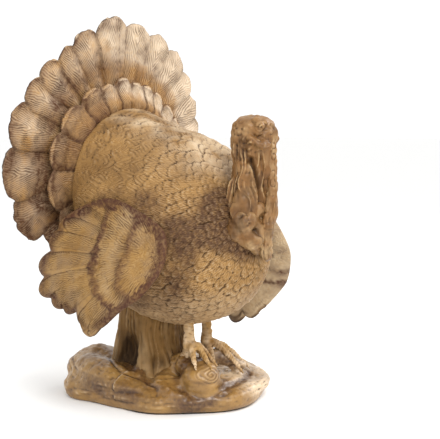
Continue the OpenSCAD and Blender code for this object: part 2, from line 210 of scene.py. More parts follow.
class Clay:
    """Dense surface in millimetres. Sculpting moves its points and paints its three channels."""

    def __init__(self, co, faces, caps=()):
        self.co = np.array(co, float)
        self.faces = np.array(faces)
        self.caps = [list(c) for c in caps]
        pairs = np.concatenate([self.faces[:, [k, (k + 1) % 4]] for k in range(4)])
        self.pairs = np.unique(np.sort(pairs, 1), axis=0)
        self.valence = np.bincount(self.pairs.ravel(), minlength=len(self.co))
        # Darkening from real stains and painted shade, and lightening from pale patches and painted
        # highlights.
        self.stain_and_shade = np.zeros(len(self.co))
        self.pale = np.zeros(len(self.co))
        self.quill = np.zeros((len(self.co), 3))
        self.calm = np.zeros(len(self.co))

    def blur(self, values, steps):
        values = np.array(values, float)
        a, b = self.pairs.T
        count = np.maximum(self.valence, 1)
        flat = values.reshape(len(values), -1)
        for _ in range(steps):
            for k in range(flat.shape[1]):
                total = (np.bincount(a, flat[b, k], len(flat))
                         + np.bincount(b, flat[a, k], len(flat)))
                flat[:, k] = 0.4 * flat[:, k] + 0.6 * total / count
        return flat.reshape(values.shape)

    def normals(self):
        p = self.co[self.faces]
        n = np.cross(p[:, 2] - p[:, 0], p[:, 3] - p[:, 1])
        out = np.zeros_like(self.co)
        for corner in range(4):
            for k in range(3):
                out[:, k] += np.bincount(self.faces[:, corner], n[:, k], len(self.co))
        return unit(out)

    def push(self, height, steps=4):
        """Moves every point out by height along the smoothed normal."""
        n = unit(self.blur(self.normals(), steps))
        self.co += n * np.asarray(height)[:, None]

    def relax(self, steps):
        self.co = self.blur(self.co, steps)

    def cavity(self, steps, depth):
        """0 in a groove, 0.5 on a plain surface and 1 on a ridge."""
        n = self.normals()
        bump = dot(self.co - self.blur(self.co, steps), n)
        bump -= self.blur(bump, 3 * steps)
        return np.clip(0.5 + bump / depth, 0, 1)

    def piece(self, name, material, slot, node, groove=0.5, reach=5):
        """Makes the piece that stands for a CAD node. Grooves as deep as groove are darkest."""
        mesh = bpy.data.meshes.new(name)
        faces = [list(f) for f in self.faces] + self.caps
        mesh.from_pydata((self.co * MM).tolist(), [], faces)
        cavity = mix(self.cavity(reach, groove), 0.5, self.calm)
        paint = np.stack([cavity, np.clip(self.stain_and_shade, 0, 1),
                          np.clip(self.pale, 0, 1), np.ones(len(self.co))], -1)
        layer = mesh.attributes.new("Paint", "FLOAT_COLOR", "POINT")
        layer.data.foreach_set("color", paint.astype(np.float32).ravel())
        quill = mesh.attributes.new("Quill", "FLOAT_VECTOR", "POINT")
        quill.data.foreach_set("vector", self.quill.astype(np.float32).ravel())
        mesh.polygons.foreach_set("use_smooth", np.ones(len(mesh.polygons), bool))
        mesh.materials.append(material)
        mesh.update()
        obj = add_object(name, mesh)
        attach(obj, "root")
        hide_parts(node)


def remeshed(voxel, *solids):
    """Clay made by fusing closed solids into one even mesh of squares."""
    co, faces = [], []
    for points, polygons in solids:
        base = sum(len(c) for c in co)
        co.append(points)
        faces += [[base + i for i in f] for f in polygons]
    mesh = bpy.data.meshes.new("fused")
    mesh.from_pydata(np.concatenate(co).tolist(), [], faces)
    obj = add_object("fused", mesh)
    fuse = obj.modifiers.new("fuse", "REMESH")
    fuse.mode = "VOXEL"
    fuse.voxel_size = voxel
    result = obj.evaluated_get(bpy.context.evaluated_depsgraph_get()).to_mesh()
    out = np.zeros(len(result.vertices) * 3)
    result.vertices.foreach_get("co", out)
    quads = np.array([list(p.vertices) for p in result.polygons])
    bpy.data.objects.remove(obj)
    bpy.data.meshes.remove(mesh)
    return Clay(out.reshape(-1, 3), quads)


# ---- Feathers -----------------------------------------------------------------------------------
def feather_edge(s, t, blunt):
    """Above 0 inside a feather: s runs from root to tip, t across it, blunt is where the tip rounds."""
    width = mix(0.6, 1.0, smooth(s / 0.5))
    tip = np.clip((s - blunt) / (1 - blunt), 0, None)
    return 1 - np.sqrt(tip ** 2 + (t / width) ** 2)


def barb_phase(s_mm, t_mm, spacing, slant, wander, spread=0.0):
    """Count of barbs passed: they leave the shaft at slant degrees and spread out towards the tip."""
    a = math.radians(slant)
    across = np.abs(t_mm) * (1 + 0.02 * np.abs(t_mm)) / (1 + spread * s_mm)
    return (s_mm * math.sin(a) - across * math.cos(a)) / spacing + wander


def coat(clay, feathers, lift, thick, crown, spacing, slant=18, blunt=0.5, tilt=0.0, ragged=0.06):
    """Height of overlapping feathers over the clay, and the strokes of their barbs. Each feather is
    (root, direction, length, half width)."""
    finder = finder_of(clay.co)
    normal = clay.blur(clay.normals(), 3)
    height = np.full(len(clay.co), -1.0)
    strokes = np.zeros(len(clay.co))
    wander = 0.5 * noise(clay.co, 12.0, 5) + 0.15 * noise(clay.co, 5.0, 15)
    depth = np.clip(0.6 + 0.7 * noise(clay.co, 8.0, 25), 0, 1.2)
    fray = ragged * noise(clay.co, 3.2, 35)
    for root, direction, length, half in feathers:
        centre = root + 0.5 * length * direction
        found = finder.find_range(Vector(centre), 0.5 * length + 0.75 * half)
        if not found:
            continue
        near = np.array([f[1] for f in found])
        up = unit(normal[finder.find(Vector(centre))[1]])
        side = unit(np.cross(up, direction))
        q = clay.co[near] - root
        s = dot(q, direction) / length + 0.6 * fray[near]
        t_mm = dot(q, side)
        t = t_mm / half + fray[near]
        edge = feather_edge(s, t, blunt)
        inside = (edge > 0) & (s > 0) & (dot(normal[near], up) > 0.2)
        near, s, t, t_mm, edge = near[inside], s[inside], t[inside], t_mm[inside], edge[inside]
        h = lift * s + thick * smooth(edge / 0.25) + crown * (1 - t ** 2) + tilt * t
        over = h > height[near]
        top = near[over]
        height[top] = h[over]
        phase = barb_phase(s * length, t_mm, spacing, slant, wander[near])
        ridge = 0.5 * np.cos(2 * np.pi * phase)
        strokes[top] = (ridge * smooth(edge / 0.1) * depth[near])[over]
        clay.quill[top] = np.stack([s[over], t[over], phase[over]], -1)
    return np.maximum(height, 0), strokes


# ---- Materials ----------------------------------------------------------------------------------
class Finish:
    """Node tree of one material. Each call adds a node and gives its output."""

    def __init__(self, name):
        self.material = bpy.data.materials.new(name)
        self.material.use_nodes = True
        self.tree = self.material.node_tree
        self.shader = self.tree.nodes["Principled BSDF"]

    def link(self, value, socket):
        if isinstance(value, (int, float)):
            socket.default_value = value
        elif isinstance(value, tuple):
            socket.default_value = (*value, 1.0)
        else:
            self.tree.links.new(value, socket)

    def set(self, **values):
        """Sets the shader's sockets, with _ for each space in their names."""
        for name, value in values.items():
            self.link(value, self.shader.inputs[name.replace("_", " ")])

    def math(self, operation, *values, clamp=False):
        node = self.tree.nodes.new("ShaderNodeMath")
        node.operation = operation
        node.use_clamp = clamp
        for value, socket in zip(values, node.inputs):
            self.link(value, socket)
        return node.outputs[0]

    def times(self, a, b, clamp=False):
        return self.math("MULTIPLY", a, b, clamp=clamp)

    def step(self, value, low, high, out_low=0.0, out_high=1.0):
        node = self.tree.nodes.new("ShaderNodeMapRange")
        node.interpolation_type = "SMOOTHSTEP"
        for socket, number in zip(node.inputs[1:5], (low, high, out_low, out_high)):
            socket.default_value = number
        self.link(value, node.inputs[0])
        return node.outputs[0]

    def mix(self, factor, a, b):
        node = self.tree.nodes.new("ShaderNodeMix")
        node.data_type = "RGBA"
        for k, value in ((0, factor), (6, a), (7, b)):
            self.link(value, node.inputs[k])
        return node.outputs[2]

    def noise(self, scale, detail=3.0, stretch=(1, 1, 1), distortion=0.0):
        place = self.tree.nodes.new("ShaderNodeTexCoord")
        mapping = self.tree.nodes.new("ShaderNodeMapping")
        mapping.inputs["Scale"].default_value = stretch
        self.link(place.outputs["Object"], mapping.inputs["Vector"])
        node = self.tree.nodes.new("ShaderNodeTexNoise")
        node.inputs["Scale"].default_value = scale
        node.inputs["Detail"].default_value = detail
        node.inputs["Distortion"].default_value = distortion
        self.link(mapping.outputs[0], node.inputs["Vector"])
        return node.outputs["Fac"]

    def painted(self, name, output, splitter):
        """The three channels of an attribute that was painted on the points."""
        node = self.tree.nodes.new("ShaderNodeAttribute")
        node.attribute_name = name
        parts = self.tree.nodes.new(splitter)
        self.link(node.outputs[output], parts.inputs[0])
        return parts.outputs

    def bump(self, height, strength, distance, previous=None):
        node = self.tree.nodes.new("ShaderNodeBump")
        node.inputs["Strength"].default_value = strength
        node.inputs["Distance"].default_value = distance
        self.link(height, node.inputs["Height"])
        if previous is not None:
            self.link(previous, node.inputs["Normal"])
        return node.outputs[0]


def barb_wave(f):
    """Wave across the barbs of the feathers, from the phase painted on each point."""
    phase = f.painted("Quill", "Vector", "ShaderNodeSeparateXYZ")[2]
    wander = f.times(f.noise(320.0, 3.0), 0.5)
    return f.math("COSINE", f.times(f.math("ADD", phase, wander), 2 * math.pi))


def resin(name, tan, shade, wash_and_shade=(0.105, 0.05, 0.02), pale=(0.64, 0.48, 0.31), roughness=0.5,
          grain=(1, 1, 1), barbs=0.0, speckle=0.3, shine=0.12, ridge_wear_and_highlight=0.5):
    """Cast resin antiqued like old carved wood: tan, with dark brown left in its hollows. The second
    channel of Paint darkens it with real stains and painted shade, the third lightens it with pale
    patches and painted highlights.
    """
    f = Finish(name)
    cavity, stain_and_shade, pale_and_highlight = f.painted("Paint", "Color", "ShaderNodeSeparateColor")
    blotch = f.noise(26.0, 4.0, grain, 0.4)
    streak = f.noise(260.0, 4.0, grain, 0.3)
    fleck = f.noise(900.0, 2.0)
    colour = f.mix(f.step(blotch, 0.35, 0.68), tan, shade)
    colour = f.mix(f.step(streak, 0.52, 0.8, 0.0, speckle), colour, wash_and_shade)
    # Lighter from the pale channel: pale patches and painted highlights.
    pale_patch_and_highlight = f.times(pale_and_highlight, f.step(streak, 0.25, 0.62, 0.6, 1.1), clamp=True)
    colour = f.mix(pale_patch_and_highlight, colour, pale)
    # Darker from the second channel: real stains and painted shade.
    uneven = f.times(stain_and_shade, f.step(streak, 0.2, 0.7, 0.7, 1.2))
    darkening = f.times(uneven, 0.86, clamp=True)
    colour = f.mix(darkening, colour, wash_and_shade)
    hollow = f.times(f.step(cavity, 0.52, 0.12, 0.0, 0.9), f.step(blotch, 0.2, 0.6, 0.7, 1.0))
    colour = f.mix(hollow, colour, tuple(0.55 * c for c in wash_and_shade))
    # Raised ridges are lighter: worn edges and painted highlight.
    undarkened = f.math("SUBTRACT", 1.0, f.times(darkening, 0.8))
    colour = f.mix(f.times(f.step(cavity, 0.55, 0.95, 0.0, ridge_wear_and_highlight), undarkened), colour, pale)
    colour = f.mix(f.step(fleck, 0.66, 0.74, 0.0, 0.35), colour, wash_and_shade)
    normal = f.bump(fleck, 0.2, 0.00025, f.bump(streak, 0.35, 0.0006))
    if barbs:
        wave = barb_wave(f)
        worn = f.step(streak, 0.35, 0.6, 0.15, 1.0)
        colour = f.mix(f.times(f.step(wave, 0.1, -0.95, 0.0, barbs), worn), colour, wash_and_shade)
        colour = f.mix(f.times(f.step(wave, 0.2, 1.0, 0.0, 0.5 * barbs), undarkened), colour, pale)
        normal = f.bump(wave, 0.5, 0.0003, normal)
    gloss = f.step(streak, 0.2, 0.8, roughness - 0.07, roughness + 0.13)
    f.set(Base_Color=colour, Roughness=f.math("ADD", gloss, f.times(hollow, 0.15)),
          Specular_IOR_Level=shine, Normal=normal)
    return f.material


def metal(name):
    f = Finish(name)
    tint = f.mix(f.noise(300.0, 3.0, (1, 1, 12)), (0.5, 0.5, 0.52), (0.68, 0.68, 0.7))
    f.set(Base_Color=tint, Metallic=1.0, Roughness=f.step(f.noise(500.0), 0.3, 0.7, 0.28, 0.45))
    return f.material


def felt(name):
    f = Finish(name)
    fibre = f.noise(1500.0, 5.0)
    f.set(Base_Color=f.mix(fibre, (0.018, 0.016, 0.013), (0.07, 0.06, 0.05)), Roughness=0.95,
          Sheen_Weight=0.4, Normal=f.bump(fibre, 0.8, 0.0005))
    return f.material


TAN, SHADE = (0.345, 0.19, 0.062), (0.26, 0.137, 0.04)
BODY_RESIN = resin("resin_body", TAN, SHADE, wash_and_shade=(0.08, 0.038, 0.018), pale=(0.58, 0.44, 0.285),
                   barbs=0.3, ridge_wear_and_highlight=0.42)
FAN_RESIN = resin("resin_fan", (0.39, 0.212, 0.068), (0.26, 0.126, 0.034), wash_and_shade=(0.085, 0.036, 0.016),
                  pale=(0.66, 0.52, 0.37), barbs=0.42, ridge_wear_and_highlight=0.35)
WING_RESIN = resin("resin_wing", (0.325, 0.183, 0.058), (0.25, 0.135, 0.041), wash_and_shade=(0.075, 0.03, 0.017),
                   pale=(0.52, 0.39, 0.24), barbs=0.22, ridge_wear_and_highlight=0.4)
NECK_RESIN = resin("resin_neck", (0.232, 0.112, 0.036), (0.155, 0.068, 0.02), wash_and_shade=(0.065, 0.03, 0.011),
                   pale=(0.46, 0.31, 0.155), grain=(1, 1, 0.3), roughness=0.4, shine=0.25, ridge_wear_and_highlight=0.8)
BASE_RESIN = resin("resin_base", (0.38, 0.216, 0.064), (0.27, 0.14, 0.036), wash_and_shade=(0.09, 0.04, 0.014),
                   roughness=0.32, shine=0.5, ridge_wear_and_highlight=0.6)
STUMP_RESIN = resin("resin_stump", (0.235, 0.125, 0.038), (0.14, 0.072, 0.021), grain=(1, 1, 0.15),
                    wash_and_shade=(0.042, 0.022, 0.009), pale=(0.42, 0.29, 0.15), ridge_wear_and_highlight=0.6)
LEG_RESIN = resin("resin_leg", (0.41, 0.242, 0.084), (0.29, 0.155, 0.048), ridge_wear_and_highlight=0.7)
STEEL = metal("steel")
FELT = felt("felt")


# ---- Body ---------------------------------------------------------------------------------------
BODY_LOW, BODY_HIGH = (np.array(corner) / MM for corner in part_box("body_shell"))
BODY_HALF_W = BODY_HIGH[0]
BREAST_Y = BODY_LOW[1] - 2
BELLY_Z = BODY_LOW[2]
BACK_TOP_Z = BODY_HIGH[2]
SHOULDER_Y, REAR_Y, BREAST_Z, BACK_Z, REAR_LOW_Z = -30.0, 64.0, 172.0, 312.0, 166.0
TAIL_LEAN = math.radians(7)
TAIL_HUB = np.array([0.0, REAR_Y, 255.0])
BODY_CENTRE = np.array([0.0, -25.0, 205.0])
NECK_FOOT = np.array([0.0, -114.0, 222.0])


def body_ring(y, angle):
    """Point of the body at y, at an angle round it: the same surface as the CAD shell."""
    cap = np.sqrt(1 - np.clip((SHOULDER_Y - y) / (SHOULDER_Y - BREAST_Y), 0, 1) ** 2)
    u = np.clip((y - SHOULDER_Y) / (REAR_Y - SHOULDER_Y), 0, 1)
    crown = mix(BACK_Z, BACK_TOP_Z, u) - 0.26 * np.maximum(0, SHOULDER_Y - y)
    keel = mix(BELLY_Z, REAR_LOW_Z, u ** 2.6)
    top, low = mix(BREAST_Z, crown, cap), mix(BREAST_Z, keel, cap)
    half = cap ** 1.25 * (BODY_HALF_W - 18 * u * u)
    z = 0.5 * (top + low) + 0.5 * (top - low) * np.sin(angle)
    return np.stack([half * np.cos(angle), y - math.tan(TAIL_LEAN) * (z - TAIL_HUB[2]) * u ** 2, z], -1)


def body_surface():
    rows, cols = 130, 200
    y = mix(BREAST_Y + 0.05, REAR_Y, (np.linspace(0, 1, rows) ** 1.6))[:, None]
    angle = np.linspace(0, 2 * np.pi, cols, endpoint=False)[None, :]
    co = body_ring(y + 0 * angle, angle + 0 * y)
    faces = [list(f) for f in grid_faces(rows, cols, True)]
    faces += [list(range(cols)), list(range((rows - 1) * cols, rows * cols))]
    return tree_of(co.reshape(-1, 3), faces)


BODY_TREE = body_surface()


def body_grid(rows, cols):
    """Points of the body in rows that spread from the foot of the neck to the tail."""
    pole = unit(NECK_FOOT - BODY_CENTRE)
    north = np.cross(pole, X_AXIS)
    theta = np.linspace(0.12, np.pi - 0.1, rows)[:, None]
    phi = np.linspace(0, 2 * np.pi, cols, endpoint=False)[None, :]
    theta, phi = theta[..., None], phi[..., None]
    ray = pole * np.cos(theta) + (X_AXIS * np.cos(phi) + north * np.sin(phi)) * np.sin(theta)
    return cast(BODY_TREE, BODY_CENTRE + 400 * ray, -ray)


def feather_rows(points, first, step, size, jitter=0.3):
    """Staggered feathers over a grid of points whose rows run along the flow. The size function
    gives the length and half width of a feather from its distance along the flow and its place."""
    rows, cols, _ = points.shape
    reach = np.concatenate([[0], np.cumsum(np.linalg.norm(np.diff(points, axis=0), axis=-1).mean(1))])
    feathers = []
    at = first
    stagger = 0.0
    while at < reach[-1] - 4:
        row = int(np.searchsorted(reach, at))
        ring = points[row]
        gaps = np.linalg.norm(np.roll(ring, -1, 0) - ring, axis=1)
        half = np.array([size(at, p)[1] for p in ring])
        place = np.cumsum(gaps / (1.72 * half))
        count = int(place[-1])
        for k in range(count):
            want = (k + stagger + jitter * (random.random() - 0.5)) / count % 1 * place[-1]
            col = int(np.searchsorted(place, want)) % cols
            back = max(0, row - int(3 * random.random()))
            root = points[back, col]
            direction = unit(points[min(rows - 1, row + 4), col] - root)
            swing = 0.7 * jitter * (random.random() - 0.5)
            direction = unit(direction + swing * unit(np.cross(direction, root - BODY_CENTRE)))
            length, wide = size(at, ring[col])
            length *= 1 + 0.7 * jitter * (random.random() - 0.5)
            feathers.append((root, direction, length, wide))
        at += step * size(at, BODY_CENTRE)[0]
        stagger = 0.5 - stagger
    return feathers


def make_body():
    rows, cols = 196, 480
    points = body_grid(rows, cols)
    faces = grid_faces(rows, cols, True)[:, ::-1]
    caps = [list(range(cols)), list(range((rows - 1) * cols, rows * cols))[::-1]]
    clay = Clay(points.reshape(-1, 3), faces, caps)
    clay.relax(2)

    def size(at, p):
        length = np.interp(at, [0, 40, 90, 160, 300], [9, 13, 18, 25, 28])
        on_back = float(smooth((p[2] - 228) / 40))
        return length * (1 + 0.45 * on_back), length * mix(0.38, 0.7, on_back)
    shape, strokes = coat(clay, feather_rows(points, 4.0, 0.46, size), 2.4, 0.9, 0.7, 2.2)
    x, y, z = clay.co.T
    side = smooth((y + 70) / 40) * smooth((z - 165) / 30) * (1 - 0.35 * smooth((z - 285) / 20))
    patchy = 0.85 + 0.3 * noise(clay.co, 26, 6)
    breast = smooth((-55 - y) / 30) * smooth((215 - z) / 30)
    mantle = smooth((z - 255) / 22) * bell(y + 78, 34)
    bold = 1 - 0.45 * side * (1 - mantle) - 0.15 * breast + 0.8 * mantle
    clay.push(shape * bold * patchy + (0.7 - 0.05 * side) * strokes - 1.5)
    from_wing = np.hypot(y + 30, z - 170)
    wing_crevice_shade = smooth((88 - from_wing) / 14) * smooth((np.abs(x) - 50) / 25)
    neck = smooth((68 - from_point(clay.co, NECK_FOOT)) / 34) * smooth((262 - z) / 26)
    bounce_light_below = smooth((150 - z) / 30)
    shade_beside_neck = smooth((-x - 8) / 20) * bell(z - 206, 26) * smooth((-70 - y) / 30)
    # Painted shade: dark in the crevice where the wing meets the body, and a painted shadow round the
    # foot of the neck and next to it on the bird's right, over patchy real stains.
    clay.stain_and_shade = (0.6 * wing_crevice_shade + 1.7 * neck + 1.0 * shade_beside_neck + 0.34 * rough(clay.co, 24, 3, 2) + 0.04
                  + 0.14 * smooth((z - 236) / 30) * (1 - mantle))
    # Painted light: the upper body paler towards the bird's left, the lit side, as painted highlight,
    # and the lowest part paler as light thrown up from the floor; the mantle is paler too.
    clay.pale = (smooth((z - 250) / 40) * (0.5 + 0.6 * rough(clay.co, 16, 3, 4)) * smooth((x + 66) / 50)
                 + 0.3 * bounce_light_below + 0.15 * mantle)
    clay.calm = smooth((y + 0.12 * (z - TAIL_HUB[2]) - 50) / 8)
    clay.piece("body", BODY_RESIN, "resin", "body_shell", groove=1.0)


# ---- Tail ---------------------------------------------------------------------------------------
TAIL_UP = np.array([0.0, -math.sin(TAIL_LEAN), math.cos(TAIL_LEAN)])
TAIL_BACK = np.array([0.0, math.cos(TAIL_LEAN), math.sin(TAIL_LEAN)])
# A feather of the fan is (angle, tip radius); the coverts are given by their angles
FAN_RISE = 25.0
FAN_SPREAD = (-131.5, 149.0)
FAN_MIDDLE = 4.0
FAN_FEATHERS = [(-121, 161), (-106, 158), (-92, 156), (-78, 155), (-66, 156), (-52, 157), (-38.5, 161),
                (-24.5, 161), (-9, 159), (7, 164), (24, 157), (36, 153), (48.5, 156), (61, 159),
                (76.5, 166), (97, 168), (118, 162)]
LOW_FAN_FEATHER = (138.0, 30.0, 139.0, 13.0, -1.6, 0.6)
COVERT_RISE = 15.0
COVERT_R = 104.0
COVERT_SPREAD = (-127, 144)
COVERT_EXTRA = [10, 13, 8, 2, 0, 2, 8, 13, 10]
COVERT_AT = [-121, -106, -91, -76, -61, -47, -33, -20, -7, 6, 20, 37, 58, 81, 106, 132]


def tail_point(angle, radius, depth, rise):
    """Point of the tail: angle from straight up towards the bird's right, depth behind its front."""
    a = np.radians(angle)
    across = -np.sin(a) * radius
    up = np.cos(a) * radius + rise
    return (TAIL_HUB + across[..., None] * X_AXIS + up[..., None] * TAIL_UP
            + depth[..., None] * TAIL_BACK)


def plate_place(angle, radius, stretch=120):
    """Place on a tail plate for noise, from its angle and radius."""
    return np.stack([np.radians(angle) * stretch, radius, 0 * radius], -1)


def rosette(angle, radius, feathers, blunt):
    """Top feather at each point of a fan of radial feathers, each (angle, root radius, tip radius,
    half width in degrees, level, tilt): its s, t, edge, place in it, and how high it lies."""
    where = plate_place(angle, radius)
    angle = angle + 0.55 * noise(where, 11, 31) + 0.3 * noise(where, 4, 32)
    radius = radius + 1.3 * noise(where, 6, 33)
    best = np.full(angle.shape, -9.0)
    out = {k: np.zeros(angle.shape) for k in ("s", "t", "edge", "t_mm", "s_mm")}
    for at, root, tip, half, level, tilt in feathers:
        s = (radius - root) / (tip - root)
        t = (angle - at) / half
        edge = feather_edge(s, t * mix(0.6, 1.0, smooth(s / 0.5)), blunt)
        height = level + tilt * t + 1.6 * np.sqrt(np.clip(edge, 0, 1))
        score = np.where((edge > 0) & (s > 0), height, -9)
        over = score > best
        best[over] = score[over]
        t_mm = radius * np.radians(angle - at)
        s_mm = radius - root
        for name, value in (("s", s), ("t", t), ("edge", edge), ("t_mm", t_mm), ("s_mm", s_mm)):
            out[name][over] = value[over]
    out["score"] = best
    return out


def feather_strokes(f, where, spacing, slant, seed):
    """Barbs of a rosette: the height of their strokes, about -0.6 to 0.6, and their phase."""
    wander = 1.1 * noise(where, 19.0, seed) + 0.25 * noise(where, 6.0, seed + 1)
    depth = np.clip(0.55 + 1.1 * noise(where, 8.0, seed + 2), 0, 1.4)
    phase = barb_phase(f["s_mm"], f["t_mm"], spacing, slant, wander, 0.006)
    return 0.5 * depth * np.cos(2 * np.pi * phase) * smooth(f["edge"] / 0.12), phase


def rosette_rim(angle, feathers, blunt):
    """Outline radius of the rosette at each angle."""
    rim = np.zeros(angle.shape)
    for at, root, tip, half, _, _ in feathers:
        t = np.clip(np.abs(angle - at) / half, 0, 1)
        reach = root + (tip - root) * (blunt + (1 - blunt) * np.sqrt(1 - t ** 2))
        rim = np.maximum(rim, np.where(t < 1, reach, 0))
    return rim


def rosette_clay(angle, inner, rim, front, back, rise, front_rows, back_rows):
    """Closed plate between a front and a back depth function of (angle, radius), with the angle and
    radius of its points."""
    u = np.concatenate([np.linspace(0, 1, front_rows), np.linspace(1, 0, back_rows)[1:]])
    a = np.broadcast_to(angle[None, :], (len(u), len(angle)))
    r = inner + (rim[None, :] - inner) * u[:, None]
    is_front = (np.arange(len(u)) < front_rows)[:, None]
    depth = np.where(is_front, front(a, r), back(a, r))
    co = tail_point(a, r, depth, rise)
    rows, cols = len(u), len(angle)
    faces = list(grid_faces(rows, cols, False))
    last = (rows - 1) * cols
    inner_side = [[last + c, last + c + 1, c + 1, c] for c in range(cols - 1)]
    caps = [[row * cols for row in range(rows)],
            [row * cols + cols - 1 for row in range(rows)][::-1]]
    return Clay(co.reshape(-1, 3), np.array(faces + inner_side), caps), a.ravel(), r.ravel()


def make_fan():
    feathers = []
    spacing = np.gradient([at for at, _ in FAN_FEATHERS])
    for (at, tip), wide in zip(FAN_FEATHERS, spacing):
        feathers.append((at + 1.2 * (random.random() - 0.5), 30.0, tip + 2 * random.random(),
                         0.61 * wide, -0.012 * abs(at), 0.6 * math.copysign(1, at - FAN_MIDDLE)))
    feathers.append(LOW_FAN_FEATHER)
    blunt = 0.84
    angle = np.linspace(*FAN_SPREAD, 900)
    rim = rosette_rim(angle, feathers, blunt)
    rim += 1.2 * rough(np.stack([angle * 2.4, 0 * angle, 0 * angle], -1), 6.0, 3, 3)

    def relief(a, r):
        f = rosette(a, r, feathers, blunt)
        where = plate_place(a, r)
        ridge, f["phase"] = feather_strokes(f, where, 2.1, 13, 1)
        wavy = 1.1 * noise(where, 16.0, 13) * smooth((f["s"] - 0.5) / 0.2)
        lean = 1.3 * f["t"] * np.where(a > FAN_MIDDLE, 1, -1)
        puff = 3.8 * np.sqrt(np.clip(f["edge"], 0, 1)) + 0.9 * np.clip(f["score"], -1, 2) + wavy + lean
        crease = 1.1 * bell(f["t_mm"], 0.9)
        crease = crease * smooth((f["s"] - 0.35) / 0.2) * smooth((0.9 - f["s"]) / 0.1)
        return puff + 0.5 * bell(f["t_mm"], 2.5) - 0.5 * crease + 1.1 * ridge, f

    def front(a, r):
        return mix(21.0, 18.5, smooth((125 - r) / 30)) - relief(a, r)[0] + 2.0

    def back(a, r):
        return 24.5 - 0.6 * relief(a, r)[0] + 3.0
    clay, a, r = rosette_clay(angle, 78.0, rim, front, back, FAN_RISE, 92, 40)
    f = relief(a, r)[1]
    clay.quill = np.stack([f["s"], f["t"], f["phase"]], -1)
    end = smooth((f["s"] - 0.80) / 0.2)
    left = smooth((a + 20) / 60)
    patch = rough(clay.co, 22, 3, 8)
    covert_shadow = bell(r - 112, 20)
    gap = smooth((0.3 - f["edge"]) / 0.3)
    overlap_shade = bell(f["t"] + 0.8 * np.where(a > FAN_MIDDLE, 1, -1), 0.3) * smooth((f["s"] - 0.5) / 0.3)
    low = smooth((a - 80) / 30)
    # Darker: real dark feather ends and patches, with painted shade growing towards the viewer's left,
    # away from the light, in the gaps and overlaps between feathers, and a painted shadow just past the
    # rim of the coverts; the lowest feathers on the left are darker too.
    clay.stain_and_shade = (end * (0.2 + 0.35 * left) + (0.35 + 0.35 * left) * covert_shadow
                  + 0.35 * gap * (0.3 + 0.7 * left) + (0.4 + 0.2 * left) * patch - 0.06
                  + 0.45 * low + (0.25 + 0.25 * left) * overlap_shade)
    # Paler: painted highlight and sheen over the outer fan, strongest on the viewer's right towards the
    # light, a painted highlight down the middle of each feather on the left, and pale patches.
    clay.pale = ((1.3 - left) * (1.0 + 0.5 * patch) * smooth((r - 104) / 22) + 0.3 * (1 - end) * patch
                 + 0.3 * left * (1 - end) * bell(f["t"], 0.5))
    clay.piece("tail_fan_feathers", FAN_RESIN, "resin", "tail_fan", groove=1.2, reach=4)


def make_coverts():
    feathers = []
    spacing = np.gradient(COVERT_AT)
    for at, wide in zip(COVERT_AT, spacing):
        at += 3 * (random.random() - 0.5)
        rim_r = COVERT_R + float(along(COVERT_EXTRA, np.array((at + 121) / 242)))
        calm = 0.35 if at > 30 else 1.0
        feathers.append((at, 48.0, rim_r + 8 * calm * (random.random() - 0.4), 0.72 * wide,
                         0.6 * calm * random.random(), 0.9 * math.copysign(1, at)))
    blunt = 0.55
    angle = np.linspace(*COVERT_SPREAD, 640)
    rim = rosette_rim(angle, feathers, blunt)
    rim += 0.8 * noise(np.stack([angle * 1.8, 0 * angle, 0 * angle], -1), 2.2, 5)

    def relief(a, r):
        f = rosette(a + 4.0 * np.sin((r - 60) / 16), r, feathers, blunt)
        ridge, f["phase"] = feather_strokes(f, plate_place(a, r, 90), 2.0, 12, 7)
        puff = 3.8 * np.sqrt(np.clip(f["edge"], 0, 1)) + 1.2 * np.clip(f["score"], 0, 4.5)
        return puff + 0.9 * ridge, f

    def front(a, r):
        return 12.5 - relief(a, r)[0] - 2.5 * smooth((r - 84) / 20) - 9 * smooth((92 - r) / 18)

    def back(_, r):
        return 14.5 + 5 * smooth((100 - r) / 10)
    clay, a, r = rosette_clay(angle, 50.0, rim, front, back, COVERT_RISE, 84, 6)
    f = relief(a, r)[1]
    clay.quill = np.stack([f["s"], f["t"], f["phase"]], -1)
    left = smooth((a + 5) / 45)
    patch = rough(clay.co, 16, 3, 9)
    gap = smooth((0.35 - f["edge"]) / 0.35)
    # Darker towards the roots and in patches, with painted shade towards the viewer's left, away from
    # the light, and in the gaps between feathers.
    clay.stain_and_shade = (0.7 * smooth((0.6 - f["s"]) / 0.3) + 0.42 * left + 0.4 * patch
                  + 0.9 * gap * (f["s"] < 0.93) + 0.3 * (1 - left) * bell(f["s"] - 0.62, 0.12))
    # Pale tips, painted as highlight mostly on the viewer's right, towards the light.
    tips = smooth((f["s"] - 0.55) / 0.25) * smooth((1.0 - f["s"]) / 0.08)
    clay.pale = (1 - 0.8 * left) * tips * (1.1 + 0.5 * patch)
    clay.piece("tail_covert_feathers", FAN_RESIN, "resin_pale", "tail_coverts", groove=1.1, reach=4)


